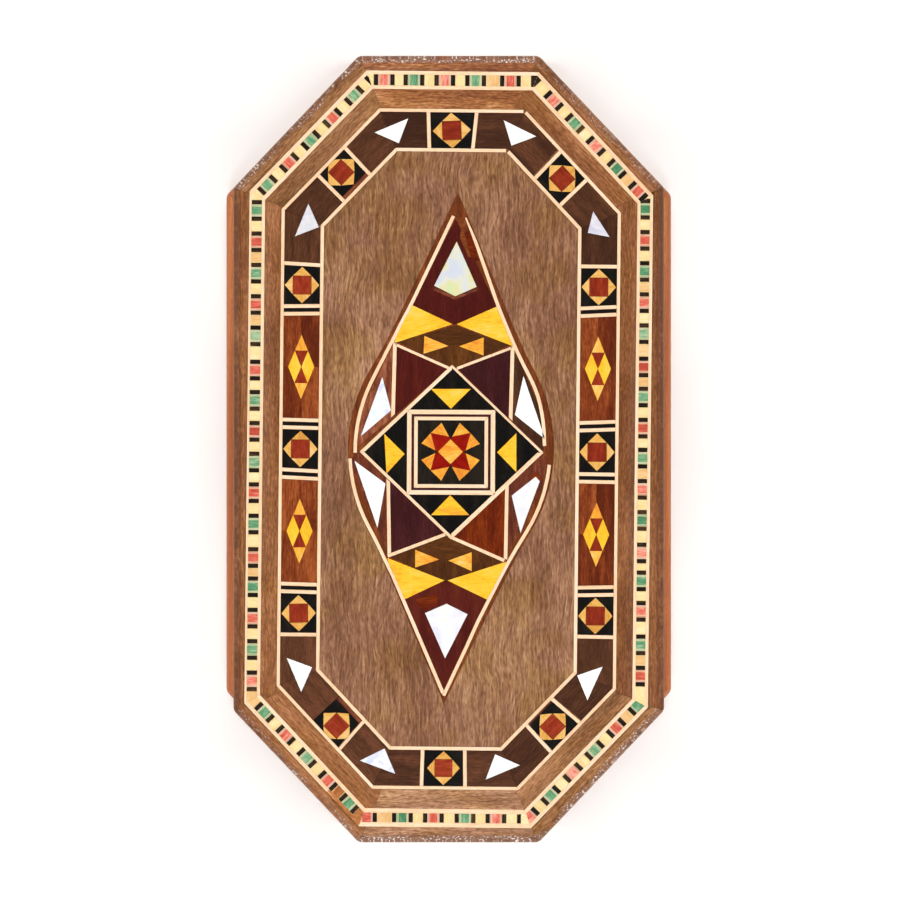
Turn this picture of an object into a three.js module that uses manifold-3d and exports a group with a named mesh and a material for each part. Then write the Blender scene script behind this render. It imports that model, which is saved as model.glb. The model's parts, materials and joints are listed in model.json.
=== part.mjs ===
// An elongated octagonal wooden box with a lift-off lid, inlaid with marquetry and mother-of-pearl.
// Millimetres, +Z up, +Y along the box. The origin is at the middle of the underside.

import * as THREE from 'three';
import * as BufferGeometryUtils from 'three/addons/utils/BufferGeometryUtils.js';
import Module from 'manifold-3d';

const wasm = await Module();
wasm.setup();

const { degToRad } = THREE.MathUtils;

// ---- Driving dimensions ----------------------------------------------------------------------

// Every octagon here has two long sides, two short ends and four slanted corners. It is given by
// how far those stand from its middle. The corners all face the same way.
const CORNER_FACING = degToRad(43.5);
const LID_EDGE = { side: 61, end: 111.4, corner: 95.2 };

// Heights above the surface that the box stands on.
const PLINTH_TOP = 9;
const WALL_TOP = 52;
const LIP_BOTTOM = 49;
const LID_TOP = 62;

// How far each outline stands in from the lid's edge. The plinth stands out past it.
const PLINTH_INSET = -8.4;
const WALL_INSET = 4;
const WALL_THICKNESS = 6;
const LIP_CLEARANCE = 0.6;

// Softened edges.
const PLINTH_CORNER_RADIUS = 3;
const PLINTH_ROUND_OVER = 5;
const PLINTH_CHAMFER = 1;
const WALL_CORNER_RADIUS = 2;
const LID_CORNER_RADIUS = 2.6;
const LID_ROUND_OVER = 2.4;
const LID_CHAMFER = 0.6;
const LEAST_CORNER_RADIUS = 0.8;
const ARC_STEPS = 5;

// The marquetry is as thick as this, and it lies flush with the top of the lid.
const VENEER = 1.5;
const GLUE_LINE = 0.06;

// The mosaic band round the lid, and the border of blocks inside it.
const BAND_OUTER = { side: 57, end: 106.7, corner: 91.1 };
const BAND_INNER = { side: 52.45, end: 101.4, corner: 86.1 };
const BORDER_OUTER = { side: 47.95, end: 96.05, corner: 81.1 };
const BORDER_WIDTH = 12.2;
const OUTER_LINE = 1;
const INNER_LINE = 1.05;
const CROSS_BAR = 1.05;

const TRIPLE_BAR = 3.2;

// The bars between the border's blocks were cut and set by hand. Each stands this far from the
// middle of its side, counter-clockwise, and leans a little. A triple bar is cream, black, cream.
const bar = (at, lean) => ({ at, lean: degToRad(lean), width: CROSS_BAR });
const tripleBar = (at, lean) => ({ at, lean: degToRad(lean), width: TRIPLE_BAR });
const noBar = (at) => ({ at, lean: 0, width: 0 });
const BARS = {
  right: [
    bar(-52.5, -0.7), tripleBar(-39.6, 1.5), tripleBar(-7.7, -0.3),
    tripleBar(6.95, 2.4), tripleBar(39.3, 3), bar(52, 0),
  ],
  back_right: [bar(-6.5, 1), bar(4.5, 4)],
  back: [bar(-6.4, -5.5), bar(6.55, 2)],
  back_left: [bar(-4.85, -3), bar(5.85, -1)],
  left: [
    bar(-51.8, -3), tripleBar(-38.9, 1), tripleBar(-6.75, -1),
    tripleBar(7.45, -2.4), tripleBar(39.55, -1.2), bar(52.7, 0),
  ],
  front_left: [noBar(-5.6), bar(4.7, 6)],
  front: [bar(-6.6, -1.3), bar(5.5, 1)],
  front_right: [bar(-5.35, -3.6), bar(5.8, 4.5)],
};

// The shell triangle let into each corner block, and how each one was set: slid outwards and
// counter-clockwise, turned about its middle, and cut larger or smaller.
const CORNER_SHELL = { fromInnerVertex: 1.8, depth: 5.4, halfBase: 5.1 };
const shellSetting = (out, across, turn, size) => ({ out, across, turn: degToRad(turn), size });
const SHELL_SETTINGS = [
  shellSetting(0, -1.5, 11.5, 0.84),
  shellSetting(0.6, -0.6, -2.5, 1),
  shellSetting(0.2, -1.3, 0, 1),
  shellSetting(-0.5, 0.7, 0, 0.97),
  shellSetting(0.1, -1.2, 2, 1.02),
  shellSetting(-0.3, -1.2, 3.4, 1.04),
  shellSetting(-0.4, -2.1, 0, 1.02),
  shellSetting(-0.3, -0.6, -2, 1.02),
];

// The pointed oval medallion: a bulge arc at its waist, a slight hollow, then straight flanks, which
// close a little sooner at the front.
const OVAL = {
  halfWidth: 28.2,
  bulgeRadius: 45,
  bulgeAngle: degToRad(30),
  hollowRadius: 134,
  flankAngle: { back: degToRad(24), front: degToRad(24.6) },
  edging: 0.9,
};

// Half of each diagonal of the turned square in the middle of the medallion.
const STAR_SQUARE = { across: 26, along: 24.7 };

// Shells of the medallion: a kite at each point of the oval, and one shell in each quarter, cut by
// eye. Corners are given from the middle, outwards and towards the oval's point.
const KITE_SHELL = { near: 43.4, waist: 46.2, far: 58.8, halfWidth: 6 };
const SIDE_SHELLS = {
  back_right: [[19.9, 21.4], [17.8, 10.4], [26.5, 3.8]],
  back_left: [[19.9, 20], [17.2, 10.7], [25.5, 3.2]],
  front_left: [[20.1, 22.5], [18.2, 10], [27.1, 3.8]],
  front_right: [[20.3, 22.8], [17.5, 12.4], [24.1, 6.9], [25.3, 8.1]],
};

// The inlay was set by hand, a little turned on the lid.
const INLAY_PLACE = { x: 0, y: 0, turn: degToRad(-0.6) };
const OVAL_PLACE = { x: 0.6, y: -0.2, turn: degToRad(-1.6) };
const SQUARE_PLACE = { x: 0.8, y: -0.8, turn: degToRad(-0.3) };

// ---- Finishes --------------------------------------------------------------------------------

const finish = (color, roughness) => new THREE.MeshStandardMaterial({ color, roughness, metalness: 0 });
const FINISHES = {
  plinthWood: finish('#c87d53', 0.45),
  wallWood: finish('#8b5f44', 0.45),
  frameWood: finish('#915f41', 0.35),
  fieldWood: finish('#a07055', 0.4),
  cornerWood: finish('#4b2d23', 0.35),
  medallionWood: finish('#5a1f1c', 0.35),
  lozengeWood: finish('#823719', 0.35),
  blackWood: finish('#23201a', 0.35),
  creamLine: finish('#ffe1c3', 0.4),
  mosaicTiles: finish('#fae1a0', 0.4),
  motherOfPearl: finish('#eceaf0', 0.2),
};

// ---- Octagons --------------------------------------------------------------------------------

// Sides are numbered from the +X long side, counter-clockwise. Corner k joins side k to side k + 1.
const SIDE_COUNT = 8;
const SIDE_FACING = [
  0,
  CORNER_FACING,
  Math.PI / 2,
  Math.PI - CORNER_FACING,
  Math.PI,
  Math.PI + CORNER_FACING,
  1.5 * Math.PI,
  2 * Math.PI - CORNER_FACING,
];
const SIDE_NAMES = [
  'right', 'back_right', 'back', 'back_left', 'left', 'front_left', 'front', 'front_right',
];

const facing = (k) => SIDE_FACING[(k + SIDE_COUNT) % SIDE_COUNT];
const sideName = (k) => SIDE_NAMES[(k + SIDE_COUNT) % SIDE_COUNT];

function inset(ring, distance) {
  return { side: ring.side - distance, end: ring.end - distance, corner: ring.corner - distance };
}

function sideDistance(ring, k) {
  const distances = [ring.side, ring.corner, ring.end, ring.corner];
  return distances[((k % 4) + 4) % 4];
}

// The point at a distance out from the middle and a length along side k.
function onSide(k, distance, along) {
  const [cos, sin] = [Math.cos(facing(k)), Math.sin(facing(k))];
  return new THREE.Vector2(cos * distance - sin * along, sin * distance + cos * along);
}

// Corner k, where sides k and k + 1 meet.
function cornerPoint(ring, k) {
  const [a, b] = [facing(k), facing(k + 1)];
  const [da, db] = [sideDistance(ring, k), sideDistance(ring, k + 1)];
  const across = Math.sin(b - a);
  return new THREE.Vector2(
    (da * Math.sin(b) - db * Math.sin(a)) / across,
    (db * Math.cos(a) - da * Math.cos(b)) / across,
  );
}

function octagon(ring) {
  return SIDE_NAMES.map((_, k) => cornerPoint(ring, k));
}

// The same octagon with its corners rounded.
function roundedOctagon(ring, radius) {
  const points = [];
  const centres = inset(ring, radius);
  for (let k = 0; k < SIDE_COUNT; k += 1) {
    const centre = cornerPoint(centres, k);
    const start = SIDE_FACING[k];
    const sweep = (k + 1 < SIDE_COUNT ? SIDE_FACING[k + 1] : 2 * Math.PI) - start;
    for (let step = 0; step <= ARC_STEPS; step += 1) {
      const angle = start + (sweep * step) / ARC_STEPS;
      points.push(new THREE.Vector2(Math.cos(angle), Math.sin(angle)).multiplyScalar(radius).add(centre));
    }
  }
  return points;
}

// Turns points about the middle of the lid and shifts them, as hand-set inlay lies.
function laid(points, place) {
  const middle = new THREE.Vector2(0, 0);
  const shift = new THREE.Vector2(place.x, place.y);
  return points.map((point) => point.clone().rotateAround(middle, place.turn).add(shift));
}

// ---- Solids ----------------------------------------------------------------------------------

// A flat piece between two heights, with holes right through it.
function slab(outline, bottom, top, holes = []) {
  const shape = new THREE.Shape(outline);
  shape.holes = holes.map((hole) => new THREE.Path(hole));
  const geometry = new THREE.ExtrudeGeometry(shape, { depth: top - bottom, bevelEnabled: false });
  geometry.translate(0, 0, bottom);
  return geometry;
}

// A board with a moulded edge. Each profile point is how far in from the ring, and how high.
function mouldedBoard(ring, cornerRadius, profile) {
  const outlines = profile.map(([distance]) => {
    const radius = Math.max(cornerRadius - distance, LEAST_CORNER_RADIUS);
    return roundedOctagon(inset(ring, distance), radius);
  });
  const count = outlines[0].length;
  const positions = outlines.flatMap((outline, level) => (
    outline.flatMap((point) => [point.x, point.y, profile[level][1]])
  ));
  const triangles = [];
  const topStart = (outlines.length - 1) * count;
  for (let level = 0; level + 1 < outlines.length; level += 1) {
    for (let i = 0; i < count; i += 1) {
      const next = (i + 1) % count;
      const [a, b] = [level * count + i, level * count + next];
      triangles.push(a, b, b + count, a, b + count, a + count);
    }
  }
  for (let i = 1; i + 1 < count; i += 1) {
    triangles.push(0, i + 1, i);
    triangles.push(topStart, topStart + i, topStart + i + 1);
  }
  const geometry = new THREE.BufferGeometry();
  geometry.setAttribute('position', new THREE.Float32BufferAttribute(positions, 3));
  geometry.setIndex(triangles);
  return geometry;
}

// A quarter-round over a top edge, from the vertical face to the flat top.
function roundOver(radius, top) {
  const points = [];
  for (let step = 0; step <= ARC_STEPS; step += 1) {
    const angle = (Math.PI / 2) * (step / ARC_STEPS);
    points.push([radius * (1 - Math.cos(angle)), top - radius * (1 - Math.sin(angle))]);
  }
  return points;
}

function solid(geometry) {
  const bare = geometry.clone();
  bare.deleteAttribute('normal');
  bare.deleteAttribute('uv');
  const merged = BufferGeometryUtils.mergeVertices(bare);
  return new wasm.Manifold(new wasm.Mesh({
    numProp: 3,
    vertProperties: merged.attributes.position.array,
    triVerts: Uint32Array.from(merged.index.array),
  }));
}

function geometryOf(body) {
  const mesh = body.getMesh();
  const geometry = new THREE.BufferGeometry();
  geometry.setAttribute('position', new THREE.BufferAttribute(mesh.vertProperties, 3));
  geometry.setIndex(new THREE.BufferAttribute(mesh.triVerts, 1));
  return geometry;
}

const box = new THREE.Group();

function add(name, geometry, material) {
  const mesh = new THREE.Mesh(geometry, material);
  mesh.name = name;
  box.add(mesh);
}

// ---- Mitred boards ---------------------------------------------------------------------------

// Cutting solids run past the piece that they cut by this much.
const CUT_MARGIN = 1;
const CUT_TOP = LID_TOP + CUT_MARGIN;
const MITRE_INSIDE = 18;

// The space that one mitred board takes: side k, cut at both ends along the corners' bisectors.
function mitreWedge(k) {
  const outer = inset(LID_EDGE, -CUT_MARGIN);
  const inner = inset(LID_EDGE, MITRE_INSIDE);
  const along = onSide(k, 0, GLUE_LINE / 2);
  const outline = [
    cornerPoint(outer, k - 1).add(along),
    cornerPoint(outer, k).sub(along),
    cornerPoint(inner, k).sub(along),
    cornerPoint(inner, k - 1).add(along),
  ];
  return solid(slab(outline, 0, CUT_TOP));
}

function addMitredBoards(prefix, ringBody, material) {
  SIDE_NAMES.forEach((name, k) => {
    add(`${prefix}_${name}`, geometryOf(ringBody.intersect(mitreWedge(k))), material);
  });
}

// ---- Plinth and walls ------------------------------------------------------------------------

function plinth() {
  const profile = [
    [PLINTH_CHAMFER, 0],
    [0, PLINTH_CHAMFER],
    ...roundOver(PLINTH_ROUND_OVER, PLINTH_TOP),
  ];
  return mouldedBoard(inset(LID_EDGE, PLINTH_INSET), PLINTH_CORNER_RADIUS, profile);
}

function wallRing() {
  const outside = roundedOctagon(inset(LID_EDGE, WALL_INSET), WALL_CORNER_RADIUS);
  const inside = octagon(inset(LID_EDGE, WALL_INSET + WALL_THICKNESS));
  return solid(slab(outside, PLINTH_TOP + GLUE_LINE, WALL_TOP, [inside]));
}

add('plinth', plinth(), FINISHES.plinthWood);
addMitredBoards('wall', wallRing(), FINISHES.wallWood);

// ---- Lid frame and panel ---------------------------------------------------------------------

const INLAY_BOTTOM = LID_TOP - VENEER;
const LID_UNDERSIDE = WALL_TOP + GLUE_LINE;

// A groove for a ring of inlay, from the veneer's underside up through the top.
function grooveRing(outer, inner, place) {
  const outline = laid(octagon(outer), place);
  const hole = laid(octagon(inner), place);
  return solid(slab(outline, INLAY_BOTTOM, CUT_TOP, [hole]));
}

// The whole lid as one board: a lip underneath that drops inside the walls, and a softened rim.
function lidBoard() {
  const lip = WALL_INSET + WALL_THICKNESS + LIP_CLEARANCE;
  const profile = [
    [lip, LIP_BOTTOM],
    [lip, LID_UNDERSIDE],
    [LID_CHAMFER, LID_UNDERSIDE],
    [0, LID_UNDERSIDE + LID_CHAMFER],
    ...roundOver(LID_ROUND_OVER, LID_TOP),
  ];
  return solid(mouldedBoard(LID_EDGE, LID_CORNER_RADIUS, profile));
}

// Eight mitred frame boards carry the mosaic band and hold the panel between them.
function lidFrame() {
  const panelWell = solid(slab(laid(octagon(BORDER_OUTER), INLAY_PLACE), 0, CUT_TOP));
  const bandGroove = grooveRing(BAND_OUTER, BAND_INNER, INLAY_PLACE);
  return lidBoard().subtract(panelWell).subtract(bandGroove);
}

const BORDER_INNER = inset(BORDER_OUTER, BORDER_WIDTH);

function lidPanel() {
  const panelRing = inset(BORDER_OUTER, GLUE_LINE);
  const board = solid(slab(laid(octagon(panelRing), INLAY_PLACE), LIP_BOTTOM, LID_TOP));
  const beyond = inset(BORDER_OUTER, -CUT_MARGIN);
  const borderGroove = grooveRing(beyond, BORDER_INNER, INLAY_PLACE);
  const ovalPocket = solid(slab(ovalOutline(OVAL.edging), INLAY_BOTTOM, CUT_TOP));
  return geometryOf(board.subtract(borderGroove).subtract(ovalPocket));
}

// ---- Inlay -----------------------------------------------------------------------------------

// A piece of inlay, flush with the top, with a hairline of glue under it.
function inlay(outline, holes = []) {
  return slab(outline, INLAY_BOTTOM + GLUE_LINE, LID_TOP, holes);
}

function mosaicBand() {
  const outline = octagon(inset(BAND_OUTER, GLUE_LINE));
  const hole = octagon(inset(BAND_INNER, -GLUE_LINE));
  return inlay(laid(outline, INLAY_PLACE), [laid(hole, INLAY_PLACE)]);
}

// The border's blocks fill cells between the two lines. A cell may be shrunk by a glue line.
const CELL_OUTER = inset(BORDER_OUTER, OUTER_LINE);
const CELL_INNER = inset(BORDER_INNER, -INNER_LINE);

const BORDER_MIDDLE = inset(BORDER_OUTER, BORDER_WIDTH / 2);

function middleOfSide(k) {
  const along = onSide(k, 0, 1);
  const ends = [cornerPoint(CELL_OUTER, k - 1), cornerPoint(CELL_OUTER, k)];
  return (ends[0].dot(along) + ends[1].dot(along)) / 2;
}

// A point on the face of a bar of side k: its face before it (-1) or after it (1), kept clear of it.
function barFace(k, bar, face, distance, clear) {
  const lean = (distance - sideDistance(BORDER_MIDDLE, k)) * Math.tan(bar.lean);
  const along = middleOfSide(k) + bar.at + lean + face * (bar.width / 2 + clear);
  return onSide(k, distance, along);
}

// The cell of side k between two of its bars.
function straightCell(k, before, after, shrink) {
  const outer = sideDistance(CELL_OUTER, k) - shrink;
  const inner = sideDistance(CELL_INNER, k) + shrink;
  return [
    barFace(k, before, 1, outer, shrink),
    barFace(k, after, -1, outer, shrink),
    barFace(k, after, -1, inner, shrink),
    barFace(k, before, 1, inner, shrink),
  ];
}

const barsOf = (k) => BARS[sideName(k)];

// The bent cell round corner k, between the last bar of side k and the first of side k + 1.
function cornerCell(k, shrink, overrun = 0) {
  const outer = inset(CELL_OUTER, shrink);
  const inner = inset(CELL_INNER, -shrink);
  const next = k + 1;
  const last = barsOf(k).at(-1);
  const first = barsOf(next)[0];
  const clear = first.width > 0 ? shrink : shrink - overrun;
  return [
    barFace(k, last, 1, sideDistance(outer, k), shrink),
    cornerPoint(outer, k),
    barFace(next, first, -1, sideDistance(outer, next), clear),
    barFace(next, first, -1, sideDistance(inner, next), clear),
    cornerPoint(inner, k),
    barFace(k, last, 1, sideDistance(inner, k), shrink),
  ];
}

// The shell triangle of corner k points at the inner corner of the border.
function cornerShell(k, grow) {
  const innerVertex = cornerPoint(BORDER_INNER, k);
  const outward = cornerPoint(BORDER_OUTER, k).sub(innerVertex).normalize();
  const across = new THREE.Vector2(-outward.y, outward.x);
  const { fromInnerVertex, depth, halfBase } = CORNER_SHELL;
  const { out, across: slide, turn, size } = SHELL_SETTINGS[k];
  const middle = innerVertex.clone()
    .addScaledVector(outward, fromInnerVertex + out + depth / 2)
    .addScaledVector(across, slide);
  const corners = [[-depth / 2, 0], [depth / 2, -halfBase], [depth / 2, halfBase]];
  return grownOutline(corners.map(([along, side]) => (
    middle.clone()
      .addScaledVector(outward, size * along)
      .addScaledVector(across, size * side)
      .rotateAround(middle, turn)
  )), grow);
}

// Moves every edge of a convex outline outwards.
function grownOutline(points, grow) {
  const turning = THREE.ShapeUtils.isClockWise(points) ? -1 : 1;
  return points.map((point, i) => {
    const before = points[(i + points.length - 1) % points.length];
    const after = points[(i + 1) % points.length];
    const enter = point.clone().sub(before).normalize();
    const leave = after.clone().sub(point).normalize();
    const normals = [enter, leave].map((edge) => new THREE.Vector2(edge.y, -edge.x).multiplyScalar(turning));
    const sum = normals[0].clone().add(normals[1]);
    return point.clone().addScaledVector(sum, (2 * grow) / sum.lengthSq());
  });
}

// The straight blocks, each with its node name and wood. Along a long side, stars and lozenges
// take turns.
function straightBlocks() {
  const blocks = [];
  for (let k = 0; k < SIDE_COUNT; k += 1) {
    const bars = barsOf(k);
    bars.slice(1).forEach((after, i) => {
      const isStar = i % 2 === 0;
      const kind = isStar ? 'star_block' : 'lozenge_block';
      const number = bars.length > 2 ? `_${Math.floor(i / 2) + 1}` : '';
      const wood = isStar ? FINISHES.blackWood : FINISHES.lozengeWood;
      blocks.push({ name: `${kind}_${sideName(k)}${number}`, k, before: bars[i], after, wood });
    });
  }
  return blocks;
}

// Both cream lines of the border and the bars between its blocks, glued up as one ladder.
function borderStringing() {
  const outline = laid(octagon(inset(BORDER_OUTER, GLUE_LINE)), INLAY_PLACE);
  const hole = laid(octagon(inset(BORDER_INNER, -GLUE_LINE)), INLAY_PLACE);
  let ladder = solid(inlay(outline, [hole]));
  const cells = straightBlocks().map(({ k, before, after }) => straightCell(k, before, after, 0));
  SIDE_NAMES.forEach((_, k) => cells.push(cornerCell(k, 0, CUT_MARGIN)));
  cells.forEach((cell) => {
    ladder = ladder.subtract(solid(slab(laid(cell, INLAY_PLACE), INLAY_BOTTOM, CUT_TOP)));
  });
  return geometryOf(ladder);
}

function addBorder() {
  add('border_stringing', borderStringing(), FINISHES.creamLine);
  straightBlocks().forEach(({ name, k, before, after, wood }) => {
    add(name, inlay(laid(straightCell(k, before, after, GLUE_LINE), INLAY_PLACE)), wood);
  });
  SIDE_NAMES.forEach((name, k) => {
    const corner = `${name}_to_${sideName(k + 1)}`;
    const cell = laid(cornerCell(k, GLUE_LINE), INLAY_PLACE);
    const pocket = laid(cornerShell(k, GLUE_LINE), INLAY_PLACE);
    add(`corner_block_${corner}`, inlay(cell, [pocket]), FINISHES.cornerWood);
    add(`corner_shell_${corner}`, inlay(laid(cornerShell(k, 0), INLAY_PLACE)), FINISHES.motherOfPearl);
  });
}

// ---- Medallion -------------------------------------------------------------------------------

// One quarter of the oval from its waist to its point, moved outwards by the given distance.
function ovalQuarter(outward, flankAngle) {
  const points = [];
  const { halfWidth, bulgeRadius, bulgeAngle, hollowRadius } = OVAL;
  const radial = (angle) => new THREE.Vector2(Math.cos(angle), Math.sin(angle));
  const bulgeCentre = new THREE.Vector2(halfWidth - bulgeRadius, 0);
  for (let step = 0; step <= ARC_STEPS; step += 1) {
    const direction = radial((bulgeAngle * step) / ARC_STEPS);
    points.push(direction.multiplyScalar(bulgeRadius + outward).add(bulgeCentre));
  }
  const hollowCentre = radial(bulgeAngle).multiplyScalar(bulgeRadius + hollowRadius).add(bulgeCentre);
  for (let step = 1; step <= ARC_STEPS; step += 1) {
    const angle = bulgeAngle + ((flankAngle - bulgeAngle) * step) / ARC_STEPS;
    points.push(radial(angle).multiplyScalar(outward - hollowRadius).add(hollowCentre));
  }
  const last = points[points.length - 1];
  points.push(new THREE.Vector2(0, last.y + last.x / Math.tan(flankAngle)));
  return points;
}

function ovalOutline(outward) {
  const back = ovalQuarter(outward, OVAL.flankAngle.back);
  const front = ovalQuarter(outward, OVAL.flankAngle.front).map(({ x, y }) => new THREE.Vector2(x, -y));
  const mirrored = (points) => points.map(({ x, y }) => new THREE.Vector2(-x, y));
  return laid([
    ...back,
    ...mirrored(back.slice(0, -1)).reverse(),
    ...mirrored(front.slice(1)),
    ...front.slice(1, -1).reverse(),
  ], OVAL_PLACE);
}

function starSquare(grow) {
  const { across, along } = STAR_SQUARE;
  const corners = [[across, 0], [0, along], [-across, 0], [0, -along]];
  const points = corners.map(([x, y]) => new THREE.Vector2(x, y));
  return laid(grownOutline(points, grow), SQUARE_PLACE);
}

// The medallion's shells, with the end or quarter of the oval that each lies in.
function medallionShells(grow) {
  const shells = [];
  [['back', 1], ['front', -1]].forEach(([end, up]) => {
    const { near, waist, far, halfWidth } = KITE_SHELL;
    const kite = [[0, near], [halfWidth, waist], [0, far], [-halfWidth, waist]];
    shells.push({ name: `kite_shell_${end}`, corners: kite.map(([x, y]) => [x, up * y]) });
    [['right', 1], ['left', -1]].forEach(([hand, out]) => {
      const corners = SIDE_SHELLS[`${end}_${hand}`].map(([x, y]) => [out * x, up * y]);
      shells.push({ name: `side_shell_${end}_${hand}`, corners });
    });
  });
  return shells.map(({ name, corners }) => {
    const points = corners.map(([x, y]) => new THREE.Vector2(x, y));
    return { name, outline: laid(grownOutline(points, grow), OVAL_PLACE) };
  });
}

function addMedallion() {
  const pockets = medallionShells(GLUE_LINE).map(({ outline }) => outline);
  pockets.push(starSquare(GLUE_LINE));
  const ground = inlay(ovalOutline(OVAL.edging - GLUE_LINE), pockets);
  add('medallion', ground, FINISHES.medallionWood);
  add('star_square', inlay(starSquare(0)), FINISHES.blackWood);
  medallionShells(0).forEach(({ name, outline }) => {
    add(name, inlay(outline), FINISHES.motherOfPearl);
  });
}

// ---- Lid, put together -----------------------------------------------------------------------

addMitredBoards('lid_frame', lidFrame(), FINISHES.frameWood);
add('lid_panel', lidPanel(), FINISHES.fieldWood);
add('mosaic_band', mosaicBand(), FINISHES.mosaicTiles);
addBorder();
addMedallion();

export default box;
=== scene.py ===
"""An octagonal wooden box with a marquetry lid, dressed and lit.

Plan sizes are in millimetres on the lid, from its middle: +X to the right, +Y to the back.
Heights are in millimetres above the floor. Angles are in degrees, counter-clockwise from +X.
"""

import sys

import json
import logging
import math
import random
from dataclasses import dataclass, field, replace
from enum import Enum

import bpy
from mathutils import Matrix, Vector

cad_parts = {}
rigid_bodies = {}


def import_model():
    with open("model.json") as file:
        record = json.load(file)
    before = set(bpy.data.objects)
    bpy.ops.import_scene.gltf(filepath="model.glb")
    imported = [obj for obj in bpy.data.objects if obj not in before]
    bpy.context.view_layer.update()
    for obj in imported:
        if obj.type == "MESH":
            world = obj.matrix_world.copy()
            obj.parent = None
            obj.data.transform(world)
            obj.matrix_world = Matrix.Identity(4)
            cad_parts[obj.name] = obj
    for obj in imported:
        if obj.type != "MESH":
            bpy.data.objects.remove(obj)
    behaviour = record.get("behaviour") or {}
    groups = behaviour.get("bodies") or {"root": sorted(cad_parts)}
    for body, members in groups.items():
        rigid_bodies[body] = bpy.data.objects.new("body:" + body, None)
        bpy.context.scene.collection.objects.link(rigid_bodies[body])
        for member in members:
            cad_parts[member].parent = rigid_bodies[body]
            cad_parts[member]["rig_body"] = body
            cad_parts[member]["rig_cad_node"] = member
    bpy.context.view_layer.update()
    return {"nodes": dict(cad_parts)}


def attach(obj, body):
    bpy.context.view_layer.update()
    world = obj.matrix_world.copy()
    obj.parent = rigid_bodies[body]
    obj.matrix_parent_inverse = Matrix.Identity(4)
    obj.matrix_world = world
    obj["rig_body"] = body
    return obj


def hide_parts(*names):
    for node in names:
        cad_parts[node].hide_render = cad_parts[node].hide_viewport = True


LOG = logging.getLogger("shell_box")
SEED = 7

MM = 0.001
LID_TOP = 62.0
# The inlay is laid up in two thin skins on its ground, all but flush with the lid.
GROUND_TOP = 61.92
FIELD_TOP = 61.96
# Half of the open joint between two pieces, and the glue round a whole line or block.
JOINT = 0.03
GLUE_LINE = 0.06
# Longer than any half side: a strip this long is cut by the mitres alone.
PAST_MITRES = 90.0
# Bisecting and welding in metres need finer thresholds than the operators' own.
CUT_THRESHOLD = 1e-8
WELD_THRESHOLD = 1e-6
# What lies this close under the lid's top is part of it.
FLUSH = 0.01
# How far apart two pieces may lie in the log that they are sawn from.
LOG_LENGTH = 400.0

SIDE_NAMES = (
    "right", "back_right", "back", "back_left", "left", "front_left", "front", "front_right",
)
SIDE_FACING = (0.0, 43.5, 90.0, 136.5, 180.0, 223.5, 270.0, 316.5)
# Each piece's map of its grain, how much lighter each of its faces is, and how much of the painted sheen and
# glints, with their dark bruises, each face takes.
GRAIN_MAP = "grain"
TONE = "tone"
GLINT_AND_WEAR = "wear"

Outline = list[Vector]
Corners = tuple[tuple[float, float], ...]
Colour = tuple[float, float, float, float]


# ---- Plan ------------------------------------------------------------------------------------


def facing(k: int) -> float:
    """Gives the direction that side k faces, in radians."""
    return math.radians(SIDE_FACING[k % 8])


def on_side(k: int, distance: float, along: float) -> Vector:
    """Finds the point at a distance out on side k, and so far along it, counter-clockwise."""
    outward = Vector((math.cos(facing(k)), math.sin(facing(k))))
    return outward * distance + Vector((-outward.y, outward.x)) * along


@dataclass(frozen=True)
class Ring:
    """An octagon with two long sides, two ends and four slanted corners."""

    side: float
    end: float
    corner: float

    def inset(self, distance: float) -> "Ring":
        """Gives the same octagon with every side moved in."""
        return Ring(self.side - distance, self.end - distance, self.corner - distance)

    def reach(self, k: int) -> float:
        """Gives how far side k stands from the middle."""
        return (self.side, self.corner, self.end, self.corner)[k % 4]

    def vertex(self, k: int) -> Vector:
        """Finds the corner between two sides.

        Args:
            k: The corner, which joins side k to the next.

        Returns:
            The corner on the plan.
        """
        a, b = facing(k), facing(k + 1)
        near, far = self.reach(k), self.reach(k + 1)
        across = math.sin(b - a)
        x = (near * math.sin(b) - far * math.sin(a)) / across
        y = (far * math.cos(a) - near * math.cos(b)) / across
        return Vector((x, y))


@dataclass(frozen=True)
class Place:
    """How a hand-set group of inlay lies on the lid: shifted and a little turned."""

    x: float = 0.0
    y: float = 0.0
    turn: float = 0.0

    def put(self, points: "Outline | Corners") -> Outline:
        """Lays points of the group on the lid.

        Args:
            points: The points, in the group's own frame.

        Returns:
            The points on the lid.
        """
        turned = Matrix.Rotation(math.radians(self.turn), 2)
        shift = Vector((self.x, self.y))
        return [turned @ Vector(point) + shift for point in points]


BAND_OUTER = Ring(57, 106.7, 91.1)
BAND_MIDDLE = BAND_OUTER.inset(2.3)
BAND_INNER = Ring(52.45, 101.4, 86.1)
BORDER_OUTER = Ring(47.95, 96.05, 81.1)
BORDER_INNER = BORDER_OUTER.inset(12.2)
BORDER_MIDDLE = BORDER_OUTER.inset(6.1)
CELL_OUTER = BORDER_OUTER.inset(1.0)
CELL_INNER = BORDER_INNER.inset(-1.05)

# The lid itself, then the border and band, the pointed oval and the square, each set by hand.
LID_PLACE = Place()
INLAY_PLACE = Place(0, 0, -0.6)
OVAL_PLACE = Place(0.6, -0.2, -1.6)
SQUARE_PLACE = Place(0.8, -0.8, -0.3)


def middle_of_side(k: int, ring: Ring = CELL_OUTER) -> float:
    """Gives the middle of side k of a ring, along the side."""
    along = on_side(k, 0, 1)
    return (ring.vertex(k - 1).dot(along) + ring.vertex(k).dot(along)) / 2


def clipped(outline: Outline, point: Vector, outward: Vector) -> Outline:
    """Cuts a convex outline along a line.

    Args:
        outline: The corners in order.
        point: A point on the line.
        outward: The direction of the side that falls away.

    Returns:
        The corners of what stays, or an empty list.
    """
    kept = []
    for i, end in enumerate(outline):
        start = outline[i - 1]
        before = (start - point).dot(outward)
        after = (end - point).dot(outward)
        if before * after < 0:
            kept.append(start.lerp(end, before / (before - after)))
        if after <= 0:
            kept.append(end)
    return kept


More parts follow.
